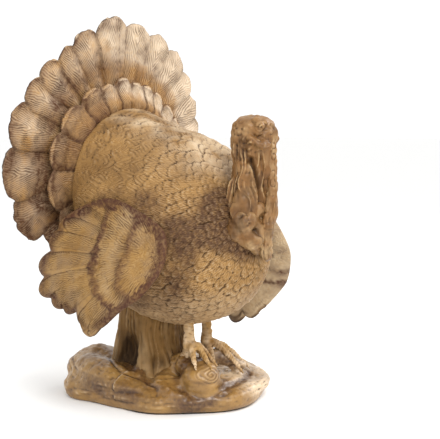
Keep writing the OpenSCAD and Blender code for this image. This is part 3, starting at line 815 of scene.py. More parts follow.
def make_vent():
    """Fluffy tuft behind the fan: rings of soft feathers that point outwards."""
    clay = remeshed(1.9, cad_solid("vent_feathers"))
    clay.relax(6)
    starts, directions = [], []
    for row in range(12):
        share = max(0.05, 1.02 - 0.09 * row)
        for k in range(17):
            a = math.radians(360 * (k + 0.5 * (row % 2)) / 17)
            away = math.cos(a) * X_AXIS + math.sin(a) * TAIL_UP
            starts.append(TAIL_HUB - 10 * TAIL_UP + 90 * TAIL_BACK
                          + share * (62 * math.cos(a) * X_AXIS + 78 * math.sin(a) * TAIL_UP) * 0.85)
            directions.append(unit(away - 0.9 * share * TAIL_BACK))
    starts = np.array(starts)
    hits = cast(tree_of(clay.co, clay.faces), starts, np.broadcast_to(-TAIL_BACK, starts.shape))
    feathers = [(hit, d, 21.0, 8.5) for hit, d in zip(hits, directions) if not np.isnan(hit[0])]
    shape, strokes = coat(clay, feathers, 1.6, 0.6, 0.5, 2.9)
    clay.push(shape + 0.6 * strokes - 1.0)
    clay.stain_and_shade = 0.3 + 0.3 * rough(clay.co, 24, 3, 3)
    clay.piece("vent_tuft", BODY_RESIN, "resin_dark", "vent_feathers", groove=0.9)


# ---- Wings --------------------------------------------------------------------------------------
WING_AT = np.array([-30.0, 170.0])
SHOULDER = np.array([-92.0, 184.0])
WING_COLS, OUTER_ROWS, INNER_ROWS = 620, 92, 22
CAD_SHARES = np.linspace(0.03, 0.94, 40)


def around(rim, angle):
    """Radius of an outline given at each degree, at any angle."""
    return np.interp(angle % 360, np.arange(361), np.append(rim, rim[0]))


def wing_outline(node):
    """Rim radius of the CAD wing round its middle, in the side view, at each degree."""
    p = cad_solid(node)[0][:, 1:] - WING_AT
    angle = np.degrees(np.arctan2(p[:, 1], p[:, 0])) % 360
    radius = np.hypot(*p.T)
    rim = np.zeros(360)
    for k in range(360):
        gap = np.abs((angle - k + 180) % 360 - 180)
        rim[k] = radius[gap < 4].max()
    for _ in range(2):
        rim = (np.roll(rim, 2) + np.roll(rim, -2) + rim) / 3
    return rim


def wing_lobes(angle, rim, lobes):
    """Rim with rounded feather ends: each lobe is (angle, tip radius, half width in degrees)."""
    base = around(rim, angle)

    def turn(value, at):
        return (value - at + 180) % 360 - 180
    reach = 0.84 * base
    for at, tip, half in lobes:
        reach = np.maximum(reach, tip * (1 - 0.15 * (turn(angle, at) / half) ** 2))
    ends = [turn(at, 330) for at, _, _ in lobes]
    here = turn(angle, 330)
    inside = smooth((here - min(ends) + 16) / 10) * smooth((max(ends) + 12 - here) / 10)
    return mix(base, reach, inside)


def wing_layers(node, side, angle, rim):
    """How far the CAD wing's outer and inner face stand from the centre plane, on a polar grid."""
    tree = tree_of(*cad_solid(node))
    radius = CAD_SHARES[:, None] * around(rim, angle)
    y = WING_AT[0] + radius * np.cos(np.radians(angle))
    z = WING_AT[1] + radius * np.sin(np.radians(angle))
    outward = np.broadcast_to(side * X_AXIS, (*y.shape, 3))
    outer = np.abs(cast(tree, np.stack([side * 300 + 0 * y, y, z], -1), -outward)[..., 0])
    inner = np.abs(cast(tree, np.stack([side * 40 + 0 * y, y, z], -1), outward)[..., 0])
    for layer in (outer, inner):
        for row in range(1, len(CAD_SHARES)):
            missed = np.isnan(layer[row])
            layer[row][missed] = layer[row - 1][missed]
        for _ in range(3):
            layer[1:-1] = (layer[:-2] + layer[1:-1] + layer[2:]) / 3
            layer[:] = (np.roll(layer, 1, 1) + layer + np.roll(layer, -1, 1)) / 3
    return outer, np.minimum(inner, outer - 4.0)


def polar_value(layer, share, angle):
    """Smooth value of a polar grid at a share of the radius and an angle."""
    last = len(CAD_SHARES) - 1
    row = np.clip((share - CAD_SHARES[0]) / (CAD_SHARES[-1] - CAD_SHARES[0]), 0, 1) * last
    r = np.clip(np.floor(row).astype(int), 0, last - 1)
    col = angle / 360 * layer.shape[1]
    c = np.floor(col).astype(int) % layer.shape[1]
    c_next = (c + 1) % layer.shape[1]
    fr, fc = row - r, col - np.floor(col)
    return ((layer[r, c] * (1 - fc) + layer[r, c_next] * fc) * (1 - fr)
            + (layer[r + 1, c] * (1 - fc) + layer[r + 1, c_next] * fc) * fr)


def wing_clay(node, side, angle, rim, edge_r):
    """Closed wing on a polar grid, and which of its points are on the outer face."""
    layers = wing_layers(node, side, angle[::4], rim)
    share = np.concatenate([np.linspace(0.01, 1, OUTER_ROWS), np.linspace(1, 0.01, INNER_ROWS)[1:]])
    rows, cols = len(share), len(angle)
    is_outer = np.arange(rows) < OUTER_ROWS
    grid_a = np.broadcast_to(angle[None, :], (rows, cols))
    radius = share[:, None] * edge_r[None, :]
    cad_share = np.clip(radius / around(rim, angle)[None, :], 0, 1)
    outer, inner = (polar_value(layer, cad_share, grid_a) for layer in layers)
    x = np.where(is_outer[:, None], outer, inner)
    middle = 0.5 * (outer + inner)
    closing = smooth((share[:, None] - 0.94) / 0.06)
    x = mix(x, middle + np.where(is_outer[:, None], 1.5, -1.5), closing * 0.6)
    a = np.radians(grid_a)
    co = np.stack([side * x, WING_AT[0] + radius * np.cos(a), WING_AT[1] + radius * np.sin(a)], -1)
    faces = grid_faces(rows, cols, True)
    caps = [list(range(cols))[::-1], list(range((rows - 1) * cols, rows * cols))]
    if side < 0:
        faces = faces[:, ::-1]
        caps = [c[::-1] for c in caps]
    clay = Clay(co.reshape(-1, 3), faces, caps)
    clay.relax(3)
    return clay, np.repeat(is_outer, cols)


def wing_feather(surface, side, tip, root_share, half):
    """Feather on the outer face, in a list, from a share of the way between the shoulder and a tip
    in the side view. The list is empty where it misses."""
    start = mix(SHOULDER, tip, root_share)
    ends = np.array([[side * 300, *p] for p in (start, tip, mix(start, tip, 0.9))])
    hit = cast(surface, ends, np.broadcast_to(-side * X_AXIS, ends.shape))
    missed = np.isnan(hit[:, 0])
    if missed[0] or (missed[1] and missed[2]):
        return []
    span = (hit[2] - hit[0]) * (1 / 0.9) if missed[1] else hit[1] - hit[0]
    return [(hit[0], unit(span), float(np.linalg.norm(span)), half)]


def wing_covert_layer(clay, surface, side, reach, root_share, count, half, span):
    """Short feathers out to a reach from the shoulder: their height, strokes and barbs."""
    feathers = []
    for k in range(count):
        bearing = mix(*span, (k + 0.5) / count) + 2 * (random.random() - 0.5)
        tip_r = reach(bearing) * (1 + 0.05 * (random.random() - 0.5))
        feathers += wing_feather(surface, side, SHOULDER + tip_r * heading(bearing), root_share, half)
    return (*coat(clay, feathers, 0.3, 0.3, 0.5, 2.8, 10, 0.8), clay.quill.copy())


def first_reach(bearing):
    return np.interp(bearing, [-80, -45, 0, 30, 70], [58, 68, 81, 84, 66])


def second_reach(bearing):
    return np.interp(bearing, [-80, -45, 0, 40, 70], [44, 46, 34, 48, 44])


def wing_places(clay, angle, edge_r):
    """Where each point lies on the wing in the side view, before it is carved."""
    y, z = clay.co[:, 1:].T
    at = SimpleNamespace()
    at.from_shoulder = np.hypot(y - SHOULDER[0], z - SHOULDER[1]) + 2.5 * noise(clay.co, 9, 41)
    at.bearing = np.degrees(np.arctan2(z - SHOULDER[1], y - SHOULDER[0]))
    at.polar = np.stack([at.from_shoulder * 0.22, at.bearing * 0.8, 0 * y], -1)
    at.in_patch = smooth((second_reach(at.bearing) - 9 - at.from_shoulder) / 10)
    round_at = np.degrees(np.arctan2(z - WING_AT[1], y - WING_AT[0])) % 360
    at.share = np.hypot(y - WING_AT[0], z - WING_AT[1]) / np.interp(round_at, angle, edge_r)
    at.leading = smooth((round_at - 40) / 30) * smooth((262 - round_at) / 16)
    return at


def carve_wing(clay, at, side, flights, outside):
    """Flight feathers, two layers of coverts over them and a shaggy patch on the shoulder."""
    surface = tree_of(clay.co, clay.faces)
    feathers = []
    for angle, tip_r, half in flights:
        feathers += wing_feather(surface, side, WING_AT + tip_r * heading(angle), 0.42, half)
    shape, strokes = coat(clay, feathers, 0.6, 0.4, 1.6, 2.3, 13, 0.75, 0.8, 0.05)
    quill = clay.quill.copy()
    first = wing_covert_layer(clay, surface, side, first_reach, 0.3, 17, 8.5, (-78, 76))
    second = wing_covert_layer(clay, surface, side, second_reach, 0.1, 11, 8.0, (-80, 80))
    clay.quill = quill
    shape = shape + 0.2
    for layer, reach, rise in ((first, first_reach, 1.9), (second, second_reach, 1.2)):
        cover, cover_strokes, cover_quill = layer
        past = at.from_shoulder - reach(at.bearing)
        on = smooth(-past / 3.0)
        dip = -1.6 * bell(past - 2.5, 3.5)
        shape = mix(shape, shape * 0.35 + 0.8 * cover + rise, on) + dip
        strokes = mix(strokes, cover_strokes, on)
        clay.quill[on > 0.5] = cover_quill[on > 0.5]
    shaggy = 0.6 * noise(at.polar, 2.4, 6) + 0.7 * noise(clay.co * [1, 0.5, 1], 4.0, 7)
    shape = mix(shape, 4.6, at.in_patch)
    strokes = mix(strokes, 0.6 * shaggy, at.in_patch)
    from_knob = np.hypot(clay.co[:, 1] + 110, clay.co[:, 2] - 158)
    knob = 1.6 * bell(from_knob, 6) - 1.4 * bell(from_knob, 2.5)
    fade = 1 - 0.75 * at.leading * smooth((at.share - 0.8) / 0.15)
    carved = fade * (shape + knob + 0.9 * strokes - 2.0)
    plain = 0.4 * shape + 0.8 * strokes - 0.4
    within = 1 - smooth((at.share - 0.9) / 0.08)
    clay.push(np.where(outside, carved, plain) * mix(0.3, 1.0, within), 6)
    wander = 2.5 * noise(clay.co, 6.0, 44) + 1.5 * noise(clay.co, 14.0, 45)
    clay.quill[:, 2] += at.in_patch * wander


def paint_wing(clay, at, side, outside):
    """Dark bands below each layer of coverts and a dark rim. The right wing's rim is darker with
    painted shade, and the left wing's front and inner face are painted pale as painted light on the lit
    side.
    """
    y, z = clay.co[:, 1:].T
    is_right = side < 0
    hairy = 0.5 * noise(at.polar, 1.4, 9) + 0.3 * noise(clay.co, 3.0, 19)
    first_band = bell(at.from_shoulder - first_reach(at.bearing) - 1 + 5 * hairy, 4.4)
    second_band = bell(at.from_shoulder - second_reach(at.bearing) - 1 + 7 * hairy, 6.0)
    front_rim = at.leading * smooth((at.share - 0.78 + 0.2 * hairy) / 0.16)
    tips = (1 - at.leading) * smooth((at.share - 0.76) / 0.16) * smooth((z - 96) / 14)
    patch = rough(clay.co, 16, 3, 12)
    knob = bell(np.hypot(y + 106, z - 158), 8)
    clay.stain_and_shade = 1.05 * first_band + 0.8 * second_band + 0.3 * patch + 0.6 * knob
    # Painted shade on the right wing, away from the light: its front rim where it meets the body, its
    # feather ends and the shoulder patch.
    if is_right:
        clay.stain_and_shade += 1.25 * front_rim + 0.9 * tips + 0.14 * at.in_patch
    else:
        clay.stain_and_shade += 0.3 * front_rim + 0.16 * tips
    clay.pale = 0.2 * patch + 0.08 + 0.2 * bell(at.from_shoulder - 60, 12)
    # Painted light on the left wing, the lit side: its inner face and front rim are pale.
    if not is_right:
        clay.pale += 1.02 * np.maximum(~outside, at.leading * smooth((at.share - 0.75) / 0.15))
    clay.calm = np.where(at.leading * smooth((at.share - 0.86) / 0.08) > 0.3, 0.9, 0.0)


def make_wing(node, side, lobes, flights):
    angle = np.linspace(0, 360, WING_COLS, endpoint=False)
    rim = wing_outline(node)
    edge_r = wing_lobes(angle, rim, lobes)
    clay, outside = wing_clay(node, side, angle, rim, edge_r)
    at = wing_places(clay, angle, edge_r)
    carve_wing(clay, at, side, flights, outside)
    paint_wing(clay, at, side, outside)
    clay.piece(f"{node}_feathers", WING_RESIN, "resin", node, groove=1.0)


# Lobes are (angle, tip radius, half width in degrees), flights (angle, tip radius, half width)
RIGHT_LOBES = [(281, 79, 13), (313, 75, 10), (326, 87, 10), (340, 104, 8.5), (356, 108, 9),
               (12, 104, 8)]
RIGHT_FLIGHTS = [(276, 78, 9), (290, 74, 8), (303, 72, 8), (315, 75, 8), (327, 87, 8), (340, 103, 9),
                 (356, 108, 10), (12, 103, 9), (27, 88, 9), (42, 80, 9), (58, 77, 9), (75, 73, 9),
                 (93, 69, 9)]
LEFT_LOBES = [(276, 97, 12), (290, 112, 10), (303, 118, 10), (317, 112, 10), (332, 104, 10),
              (347, 102, 9), (2, 105, 9), (17, 98, 9)]
LEFT_FLIGHTS = [(262, 78, 8), (276, 95, 9), (290, 112, 10), (303, 118, 10), (317, 112, 10),
                (332, 104, 9), (347, 102, 9), (2, 106, 9), (18, 96, 9), (34, 84, 8), (50, 78, 8),
                (66, 75, 8), (84, 70, 8)]


# ---- Neck, head, snood and wattle -----------------------------------------------------------------
def swirl(clay, centre, turns, size, depth):
    """Soft spiral ridges round a point on the bird's right side."""
    q = clay.co - centre
    facing = unit(np.array([-0.75, -0.6, 0.05]))
    side = unit(np.cross(facing, Z_AXIS))
    over = np.cross(side, facing)
    a, b = dot(q, side), dot(q, over)
    r = np.hypot(a, b * 1.2) + 1.2 * noise(clay.co, 5, 51)
    spiral = np.cos(turns * 2 * np.pi * r / size - np.arctan2(b, a))
    return depth * spiral * bell(r, size) * (dot(q, facing) > -8)


NECK_GROOVE = [(-15, -140, 281), (-11.5, -142.5, 270), (-9, -144, 256), (-6, -146, 243),
               (-6, -149, 231), (-4, -150, 216)]
NECK_STRIP = [(-16, -140, 277), (-14.5, -141, 268), (-13.5, -141.5, 258), (-12, -143, 248)]


def make_neck():
    extra = [
        tube([(-6, -130, 320), (-12, -144, 323), (-4, -152, 321)], [3, 4.5, 3]),
        tube([(-16, -138, 313), (-14, -147, 310), (-5, -154, 310)], [2.5, 3.6, 2.8]),
        blob((-13, -150, 317), (5, 5, 4.5)), blob((-3, -153, 308), (6, 5, 6)),
        tube([(-21, -141, 306), (-18, -149, 300), (-9, -154, 297), (-1, -153, 302)], [3, 4.2, 4.2, 3]),
        blob((-14, -140, 300), (8, 8, 10)), blob((12, -140, 308), (7, 7, 8)),
        blob((-6, -134, 256), (15, 14, 44)), blob((-8, -132, 230), (19, 16, 24)),
        tube(NECK_STRIP, [3, 4, 4, 3.5]),
        tube([(-19, -132, 280), (-20, -132, 258), (-22, -130, 240), (-23, -127, 216)], [5, 6, 7, 8]),
        tube([(-14, -118, 258), (-16, -114, 240), (-20, -112, 222)], [5, 7, 7]),
        tube([(2, -145, 300), (3, -147, 276), (7, -146, 250), (9, -145, 222), (8, -146, 198)],
             [8, 8, 8, 9, 7]),
        tube([(10, -138, 300), (13, -137, 274), (15, -136, 248), (15, -135, 224)], [7, 7, 8, 8]),
    ]
    clay = remeshed(0.85, cad_solid("neck_head"), *extra)
    clay.relax(16)
    x, y, z = clay.co.T
    bearing = np.degrees(np.arctan2(x, -(y + 120)))
    column = np.stack([bearing * 0.34 + 3.5 * noise(clay.co, 20, 4), z * 0.14, 0 * z], -1)
    neck_zone = smooth((304 - z) / 20)
    wrinkles = (3.6 * (0.4 - np.abs(noise(column, 4.6, 3))) + 1.8 * noise(column, 2.2, 13)
                + 1.6 * noise(column, 3.1, 23)
                + 0.9 * rough(clay.co * [1, 1, 0.35], 9.0, 2, 33)) * neck_zone
    pebbles = 2.4 * np.abs(noise(clay.co, 8.0, 7)) + 0.8 * noise(clay.co, 3.6, 9)
    pebbles = pebbles * (1 - 0.6 * neck_zone) * (1 - 0.5 * smooth((z - 318) / 8))
    finder = finder_of(clay.co)
    groove_path = [tuple(finder.find(Vector(p))[0]) for p in NECK_GROOVE]
    groove = bell(from_line(clay.co, groove_path), 3.4)
    swirls = (swirl(clay, np.array([-20.0, -141.0, 298.0]), 1.4, 10.0, 0.6)
              + swirl(clay, np.array([-11.0, -150.0, 316.0]), 1.1, 6.0, 0.7))
    clay.push((wrinkles + pebbles) * (1 - groove) + swirls - 6.5 * groove - 0.4, 2)
    patch = rough(clay.co, 14, 3, 5)
    crown = smooth((z - 300) / 12)
    blush = bell(from_point(clay.co, [-14, -150, 312]), 12)
    # Painted shadow low on the bird's right at the foot of the neck; darker too in the groove, in
    # patches and round the eye, and lighter on the crown.
    clay.stain_and_shade = (0.6 * smooth((236 - z) / 25) * smooth((-x - 8) / 12) + 1.3 * groove + 0.6 * patch
                  + 0.12 - 0.3 * crown + 0.5 * blush)
    strip = bell(from_line(clay.co, NECK_STRIP), 2.6)
    clay.pale = 1.1 * strip + 0.3 * rough(clay.co, 12, 2, 15) + 0.3 * crown
    clay.piece("neck_and_head", NECK_RESIN, "resin_pale", "neck_head", groove=0.65)


def make_snood():
    extra = [
        blob((1, -149, 181), (7.5, 6.5, 9)), blob((6, -153, 308), (7, 6.5, 9)),
        tube([(6, -150, 316), (5, -152, 296), (6, -151, 270), (6, -152, 246), (4, -153, 226),
              (0, -153, 206), (1, -150, 188)], [5, 6, 6.5, 6.5, 6, 5.5, 6]),
    ]
    clay = remeshed(0.7, cad_solid("snood"), *extra)
    clay.relax(6)
    x, y, z = clay.co.T
    beads = (1.1 * np.abs(noise(clay.co * [1, 1, 0.7], 4.0, 4))
             + 0.5 * noise(clay.co * [1, 1, 0.4], 2.2, 2))
    folds = 0.8 * noise(np.stack([x * 1.6, y * 1.6, z * 0.14], -1), 5.0, 22)
    clay.push(1.4 * beads + folds - 0.5, 2)
    patch = rough(clay.co, 10, 3, 6)
    clay.stain_and_shade = 0.12 + 0.5 * patch
    clay.pale = 0.35 * bell(z - 184, 14) + 0.2 + 0.3 * rough(clay.co, 7, 2, 16)
    clay.piece("hanging_snood", NECK_RESIN, "resin_pale", "snood", groove=0.7)


LOW_FOLD = [(-17, -150, 205), (-12, -153, 199), (-9, -152, 190)]
HIGH_FOLD = [(-30, -139, 222), (-20, -149, 226), (-9, -152, 216)]


def make_wattle():
    lumps = [blob((-17, -137, 212), (15, 13, 17)), blob((-11, -139, 195), (12, 12, 12)),
             blob((-26, -127, 207), (8, 11, 15)), blob((-8, -145, 204), (9, 8, 14)),
             blob((-2, -144, 202), (9, 8, 20))]
    clay = remeshed(0.8, cad_solid("wattle"), *lumps)
    clay.relax(14)
    pits = (bell(from_point(clay.co, [-18, -150, 206]), 4.0)
            + 0.8 * bell(from_point(clay.co, [-31, -138, 221]), 4.0)
            + 0.7 * bell(from_line(clay.co, LOW_FOLD), 2.4)
            + 0.6 * bell(from_line(clay.co, HIGH_FOLD), 2.2))
    folds = 1.5 * np.abs(noise(clay.co * [1, 1, 0.7], 8.0, 2)) + 0.6 * noise(clay.co, 3.4, 8)
    whorl = swirl(clay, np.array([-24.0, -144.0, 214.0]), 1.2, 12.0, 0.7)
    clay.push(folds + whorl - 3.0 * pits - 0.4, 2)
    z = clay.co[:, 2]
    patch = rough(clay.co, 11, 3, 1)
    clay.stain_and_shade = 0.15 + 0.45 * patch + 0.8 * pits + 0.35 * smooth((-clay.co[:, 0] - 26) / 8)
    clay.pale = 0.45 * smooth((200 - z) / 12) + 0.1 + 0.4 * rough(clay.co, 8, 2, 17)
    clay.piece("throat_wattle", NECK_RESIN, "resin_pale", "wattle", groove=0.65)


# ---- Stump, base and legs -------------------------------------------------------------------------
STUMP_AT = np.array([-5.0, 16.0])
BURL_AT = np.array([-22.0, -77.0, 33.0])
# Each root is (bearing, how far it spreads, thickness, height of its top)
ROOTS = [(148, 50, 7, 120), (205, 50, 7.5, 78), (248, 49, 7, 60), (290, 54, 8, 60),
         (335, 50, 8, 80), (20, 50, 8, 70), (75, 52, 9, 80), (112, 52, 8, 90)]


def make_stump():
    roots = []
    for at, spread, size, top in ROOTS:
        d = heading(at)
        path = [(*(STUMP_AT + d * 29), top), (*(STUMP_AT + d * 34), 0.5 * top + 28),
                (*(STUMP_AT + d * 42), 45), (*(STUMP_AT + d * spread), 33)]
        roots.append(tube(path, [3, size * 0.85, size * 1.1, size * 0.9]))
    clay = remeshed(1.25, cad_solid("tree_stump"), *roots)
    clay.relax(5)
    z = clay.co[:, 2]
    bearing = np.degrees(np.arctan2(clay.co[:, 1] - STUMP_AT[1], clay.co[:, 0] - STUMP_AT[0])) % 360
    side = smooth((148 - z) / 6)
    bark = np.stack([bearing * 0.7 + 6 * noise(clay.co, 34, 2), z * 0.10, 0 * z], -1)
    ridges = (1.6 * noise(bark, 9.0, 3) + 1.4 * (0.5 - np.abs(noise(bark, 4.0, 6)))
              + 0.8 * noise(bark, 2.0, 8) + 0.7 * noise(clay.co, 6.0, 6))
    hollow = (bell(bearing - 177, 15) * bell(z - 56, 22)
              + 0.5 * bell(bearing - 228, 9) * bell(z - 44, 10))
    clay.push(1.25 * ridges * side - 14.0 * hollow - 0.5, 3)
    clay.co[:, 2] = np.maximum(clay.co[:, 2], 30.4)
    low = smooth((52 - z) / 18)
    # The deep hollow is painted darkest, as painted shade.
    clay.stain_and_shade = (0.05 + 1.8 * hollow + 0.4 * rough(clay.co, 22, 3, 2)
                  + 0.3 * smooth((z - 110) / 30) - 0.2 * low)
    arch = bell(bearing - 205, 12) * bell(z - 52, 22) + bell(bearing - 150, 8) * smooth((90 - z) / 30)
    clay.pale = 0.6 * arch + 0.3 * rough(bark, 6.0, 2, 8) + 0.3 * low
    clay.piece("stump_bark", STUMP_RESIN, "resin_dark", "tree_stump", groove=1.4)


BASE_CRACKS = [[(-38, 22, 30), (-55, -6, 30), (-62, -38, 28), (-58, -61, 21), (-53, -79, 12),
                (-49, -84, 6)],
               [(-72, 8, 28), (-78, -10, 22), (-74, -30, 15)],
               [(-18, -104, 22), (6, -98, 27), (36, -92, 27), (60, -80, 28)],
               [(-60, 60, 34), (-80, 36, 24), (-92, 18, 12)]]


def base_lumps():
    """Roots, rocks and earth that lie on the CAD base."""
    roots = []
    for at, spread, size, _ in ROOTS:
        d = heading(at)
        path = [(*(STUMP_AT + d * 30), 52), (*(STUMP_AT + d * 37), 42), (*(STUMP_AT + d * spread), 33),
                (*(STUMP_AT + d * (spread + 12)), 23)]
        roots.append(tube(path, [2, size * 0.9, size * 1.3, size]))
    strata = [
        tube([(-20, -12, 32), (-44, -34, 31), (-58, -52, 25), (-52, -76, 18)], [4, 7, 7, 5]),
        tube([(-32, -16, 30), (-38, -44, 32), (-36, -64, 30)], [6, 7, 5]),
        tube([(-60, 12, 28), (-72, -14, 20), (-68, -48, 14), (-46, -86, 12)], [6, 8, 8, 5]),
        tube([(8, -92, 18), (40, -104, 18), (74, -92, 18), (100, -62, 18)], [5, 8, 8, 6]),
    ]
    boulder = [
        blob((-26, 90, 30), (42, 30, 19)),
        blob((-46, 44, 16), (42, 62, 27)),
        blob((-62, 62, 12), (28, 38, 20)),
        tube([(-40, 96, 26), (-58, 58, 24), (-64, 10, 18), (-62, -30, 14)], [18, 25, 24, 16], 24),
    ]
    under_feet = [
        tube([(-8, -18, 38), (-14, -40, 46), (-20, -58, 44), (-22, -68, 40)], [12, 14, 14, 12]),
        blob((70, -60, 20), (34, 30, 12)),
        blob((60, 60, 20), (36, 34, 12)),
        blob((-19, -64, 46), (13, 15, 13)),
        blob((-2, -56, 36), (22, 16, 14)),
        tube([(16, -48, 36), (22, -56, 50), (36, -66, 46), (54, -76, 32)], [11, 10, 9, 8]),
    ]
    return [*strata, *boulder, *roots, *under_feet]


def base_rings(clay):
    """Growth rings on the front of the burl, from -1 to 1."""
    q = clay.co - BURL_AT
    facing = unit(np.array([-0.6, -0.75, 0.25]))
    side = unit(np.cross(facing, Z_AXIS))
    a = dot(q, side) + 6
    b = dot(q, np.cross(side, facing)) - 6
    r = np.hypot(a, b * 1.25) + 4.5 * noise(clay.co, 12, 71)
    return np.cos(2 * np.pi * r / 5.4 - 0.8 * np.arctan2(b, a)) * smooth((21 - r) / 12)


def make_base():
    clay = remeshed(1.5, cad_solid("ground_base"), *base_lumps())
    clay.relax(24)
    z = clay.co[:, 2]
    above = smooth((z - 4) / 8)
    warped = clay.co + 9 * np.stack([noise(clay.co, 40, 61), noise(clay.co, 40, 62), 0 * z], -1)
    round_at = np.degrees(np.arctan2(warped[:, 1], warped[:, 0]))
    grain = np.stack([round_at * 0.35, np.hypot(warped[:, 0], warped[:, 1]) * 0.9, z * 1.3], -1)
    crease = bell(noise(grain, 17, 9), 0.18)
    rock = (1.3 * rough(clay.co, 40, 2, 2) + 1.3 * noise(grain, 8, 5) + 0.7 * noise(grain, 3.6, 6)
            + 0.9 * rough(clay.co, 9, 3, 63) - 1.1 * crease)
    from_burl = from_point(clay.co, BURL_AT)
    burl = smooth((28 - from_burl) / 6)
    rings = base_rings(clay)
    knob = 0.3 * rings + 1.8 * noise(clay.co, 12, 72) + 0.8 * noise(grain, 5.0, 73) - 0.2
    shaken = clay.co + 3 * noise(clay.co, 9, 74)[:, None]
    crack = sum(bell(from_line(shaken, path), 3.4) for path in BASE_CRACKS)
    streak = sum(bell(from_line(clay.co, path), 8.0) for path in BASE_CRACKS)
    clay.push(above * (rock * (1 - burl) + burl * knob - 2.0 * crack), 3)
    x, y, z = clay.co.T
    clay.co[:, 2] = np.maximum(z, 2.0) - 1.3 * smooth((7 - z) / 4)
    from_stump = np.hypot(x - STUMP_AT[0], y - STUMP_AT[1])
    foot = smooth((62 - from_stump) / 16) * smooth((z - 20) / 6)
    front = bell(np.hypot(x + 34, y + 88), 26) * (1 - burl)
    ridge = bell(np.hypot(x - 28, y + 62), 22) + bell(np.hypot(x + 18, y + 64), 16)
    ridge = ridge * smooth((z - 30) / 8)
    # Darker: creases, cracks, streaks and patches, a painted shadow under the toes of both feet, and
    # round the foot of the stump, at the front and round the rim of the burl.
    clay.stain_and_shade = (0.35 * crease + 0.6 * foot * (1 - burl) + 0.7 * front + 0.7 * ridge
                  + 0.5 * rough(clay.co, 24, 3, 7) + 0.7 * crack + 0.5 * streak
                  + 0.65 * bell(from_burl - 28, 5) + 0.15 * burl * (0.5 - 0.5 * rings))
    # Paler: painted highlight and sheen growing towards the bird's left, the lit side, and pale ring
    # ridges on the burl.
    clay.pale = (smooth((x + 5) / 55) * (1.3 + 0.5 * rough(clay.co, 18, 3, 6)) * smooth((z - 6) / 12)
                 + 0.2 * burl * smooth(rings))
    clay.piece("rocky_base", BASE_RESIN, "resin", "ground_base", groove=1.1)


def make_leg(node, toes):
    """Leg with scutes: the CAD leg with knuckled toes."""
    extra = []
    for path in toes:
        for share in (0.35, 0.6, 0.82):
            p = [float(along(np.asarray(path)[:, i], share)) for i in range(3)]
            extra.append(blob(p, (3.7 - 1.4 * share,) * 3, 10, 14))
        extra.append(tube(path, [3.4, 3.0, 2.5, 1.5]))
    ankle = np.array(toes[0][0], float)
    extra.append(tube([ankle, ankle - [0, 0, 16], ankle - [0, 0, ankle[2] - 32]], [6, 5, 4.5]))
    clay = remeshed(0.75, cad_solid(node), *extra)
    clay.relax(4)
    z = clay.co[:, 2]
    reach = from_point(clay.co, ankle)
    ring = 0.5 * noise(clay.co, 9, 81)
    scutes = np.abs(np.sin(np.pi * (z / 4.2 + ring))) * smooth((z - 66) / 8)
    beads = np.abs(np.sin(np.pi * (reach / 3.6 + ring))) * smooth((74 - z) / 8)
    clay.push(0.3 * scutes + 0.5 * beads + 0.9 * noise(clay.co, 4.0, 3) - 0.9, 2)
    patch = rough(clay.co, 10, 3, 2)
    clay.stain_and_shade = 0.35 * patch + 0.3 * smooth((z - 92) / 15)
    clay.pale = 0.4 + 0.6 * rough(clay.co, 9, 2, 4)
    clay.piece(f"{node}_scutes", LEG_RESIN, "resin_dark", node, groove=0.8)


RIGHT_TOES = [
    [(-20, -56, 70), (-29, -66, 66), (-37, -78, 56), (-40, -84, 49)],
    [(-20, -56, 70), (-22, -70, 67), (-25, -85, 58), (-26, -95, 48)],
    [(-20, -56, 70), (-14, -66, 66), (-9, -78, 56), (-6, -86, 47)],
    [(-20, -56, 70), (-18, -48, 58), (-17, -40, 44), (-16, -33, 34)],
]
LEFT_TOES = [
    [(16, -51, 69), (15, -58, 60), (13, -64, 46), (12, -69, 33)],
    [(16, -51, 69), (24, -64, 64), (32, -77, 50), (38, -88, 32)],
    [(16, -51, 69), (32, -61, 64), (48, -70, 50), (64, -78, 31)],
    [(16, -51, 69), (22, -42, 58), (28, -33, 44), (32, -25, 33)],
]


# ---- Build ----------------------------------------------------------------------------------------
make_body()
make_fan()
make_coverts()
make_vent()
make_wing("right_wing", -1, RIGHT_LOBES, RIGHT_FLIGHTS)
make_wing("left_wing", 1, LEFT_LOBES, LEFT_FLIGHTS)
make_neck()
make_snood()
make_wattle()
make_stump()
make_base()
make_leg("right_leg", RIGHT_TOES)
make_leg("left_leg", LEFT_TOES)

for node, material in (("felt_pad", FELT), ("rear_plug", STUMP_RESIN), ("centre_rod", STEEL),
                       ("base_washer", STEEL), ("base_nut", STEEL), ("body_washer", STEEL),
                       ("body_nut", STEEL), ("neck_dowel", STEEL), ("tail_dowels", STEEL),
                       ("wing_dowels", STEEL), ("leg_wires", STEEL)):
    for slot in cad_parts[node].material_slots:
        slot.material = material


# ---- Floor, light and camera ------------------------------------------------------------------------
FLOOR_HALF = 40.0
WORLD_LIGHT = 1.1


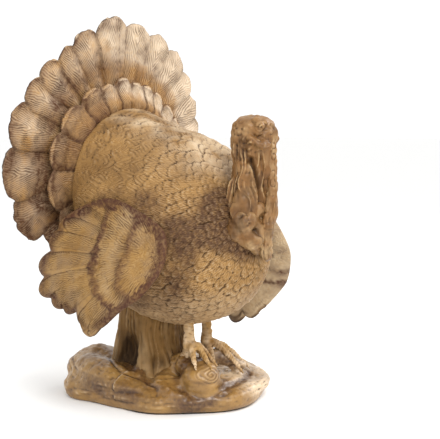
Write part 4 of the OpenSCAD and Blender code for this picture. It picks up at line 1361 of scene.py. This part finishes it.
def area_light(name, place, size, power):
    """Round lamp that faces the middle of the bird."""
    data = bpy.data.lights.new(name, "AREA")
    data.shape = "DISK"
    data.size = size
    data.energy = power
    obj = add_object(name, data)
    obj.location = place
    obj.rotation_euler = (Vector(BIRD_MIDDLE) - Vector(place)).to_track_quat("-Z", "Y").to_euler()


def studio():
    mesh = bpy.data.meshes.new("floor")
    corners = [(x * FLOOR_HALF, y * FLOOR_HALF, 0) for x, y in ((-1, -1), (1, -1), (1, 1), (-1, 1))]
    mesh.from_pydata(corners, [], [(0, 1, 2, 3)])
    floor = add_object("floor", mesh)
    finish = Finish("floor")
    finish.set(Base_Color=(0.9, 0.9, 0.89), Roughness=0.9)
    mesh.materials.append(finish.material)
    world = bpy.data.worlds.new("studio")
    bpy.context.scene.world = world
    world.use_nodes = True
    background = world.node_tree.nodes["Background"]
    background.inputs["Color"].default_value = (1, 1, 1, 1)
    background.inputs["Strength"].default_value = WORLD_LIGHT


CAMERA_AZ, CAMERA_EL, CAMERA_FAR = math.radians(-50), math.radians(5), 1.2
RIGHT = np.array([math.cos(CAMERA_AZ), math.sin(CAMERA_AZ), 0.0])
BACK = np.array([math.sin(CAMERA_AZ) * math.cos(CAMERA_EL), -math.cos(CAMERA_AZ) * math.cos(CAMERA_EL),
                 math.sin(CAMERA_EL)])
UP = np.cross(BACK, RIGHT)
TARGET = 0.0649 * RIGHT + 0.2077 * UP
VIEW_W = 0.5236
BIRD_MIDDLE = (0.0, 0.0, 0.22)


def camera():
    data = bpy.data.cameras.new("camera")
    obj = add_object("camera", data)
    data.sensor_fit = "HORIZONTAL"
    data.angle = 2 * math.atan(VIEW_W / 2 / CAMERA_FAR)
    data.clip_end = 50
    obj.location = TARGET + CAMERA_FAR * BACK
    obj.rotation_euler = Vector(BACK).to_track_quat("Z", "Y").to_euler()
    bpy.context.scene.camera = obj


studio()
area_light("key", 0.5 * RIGHT + 1.3 * BACK + 1.25 * UP, 0.8, 19)
area_light("rim", 1.3 * RIGHT - 0.6 * BACK + 1.3 * UP, 0.9, 12)
camera()
bpy.context.scene.view_settings.view_transform = "Standard"
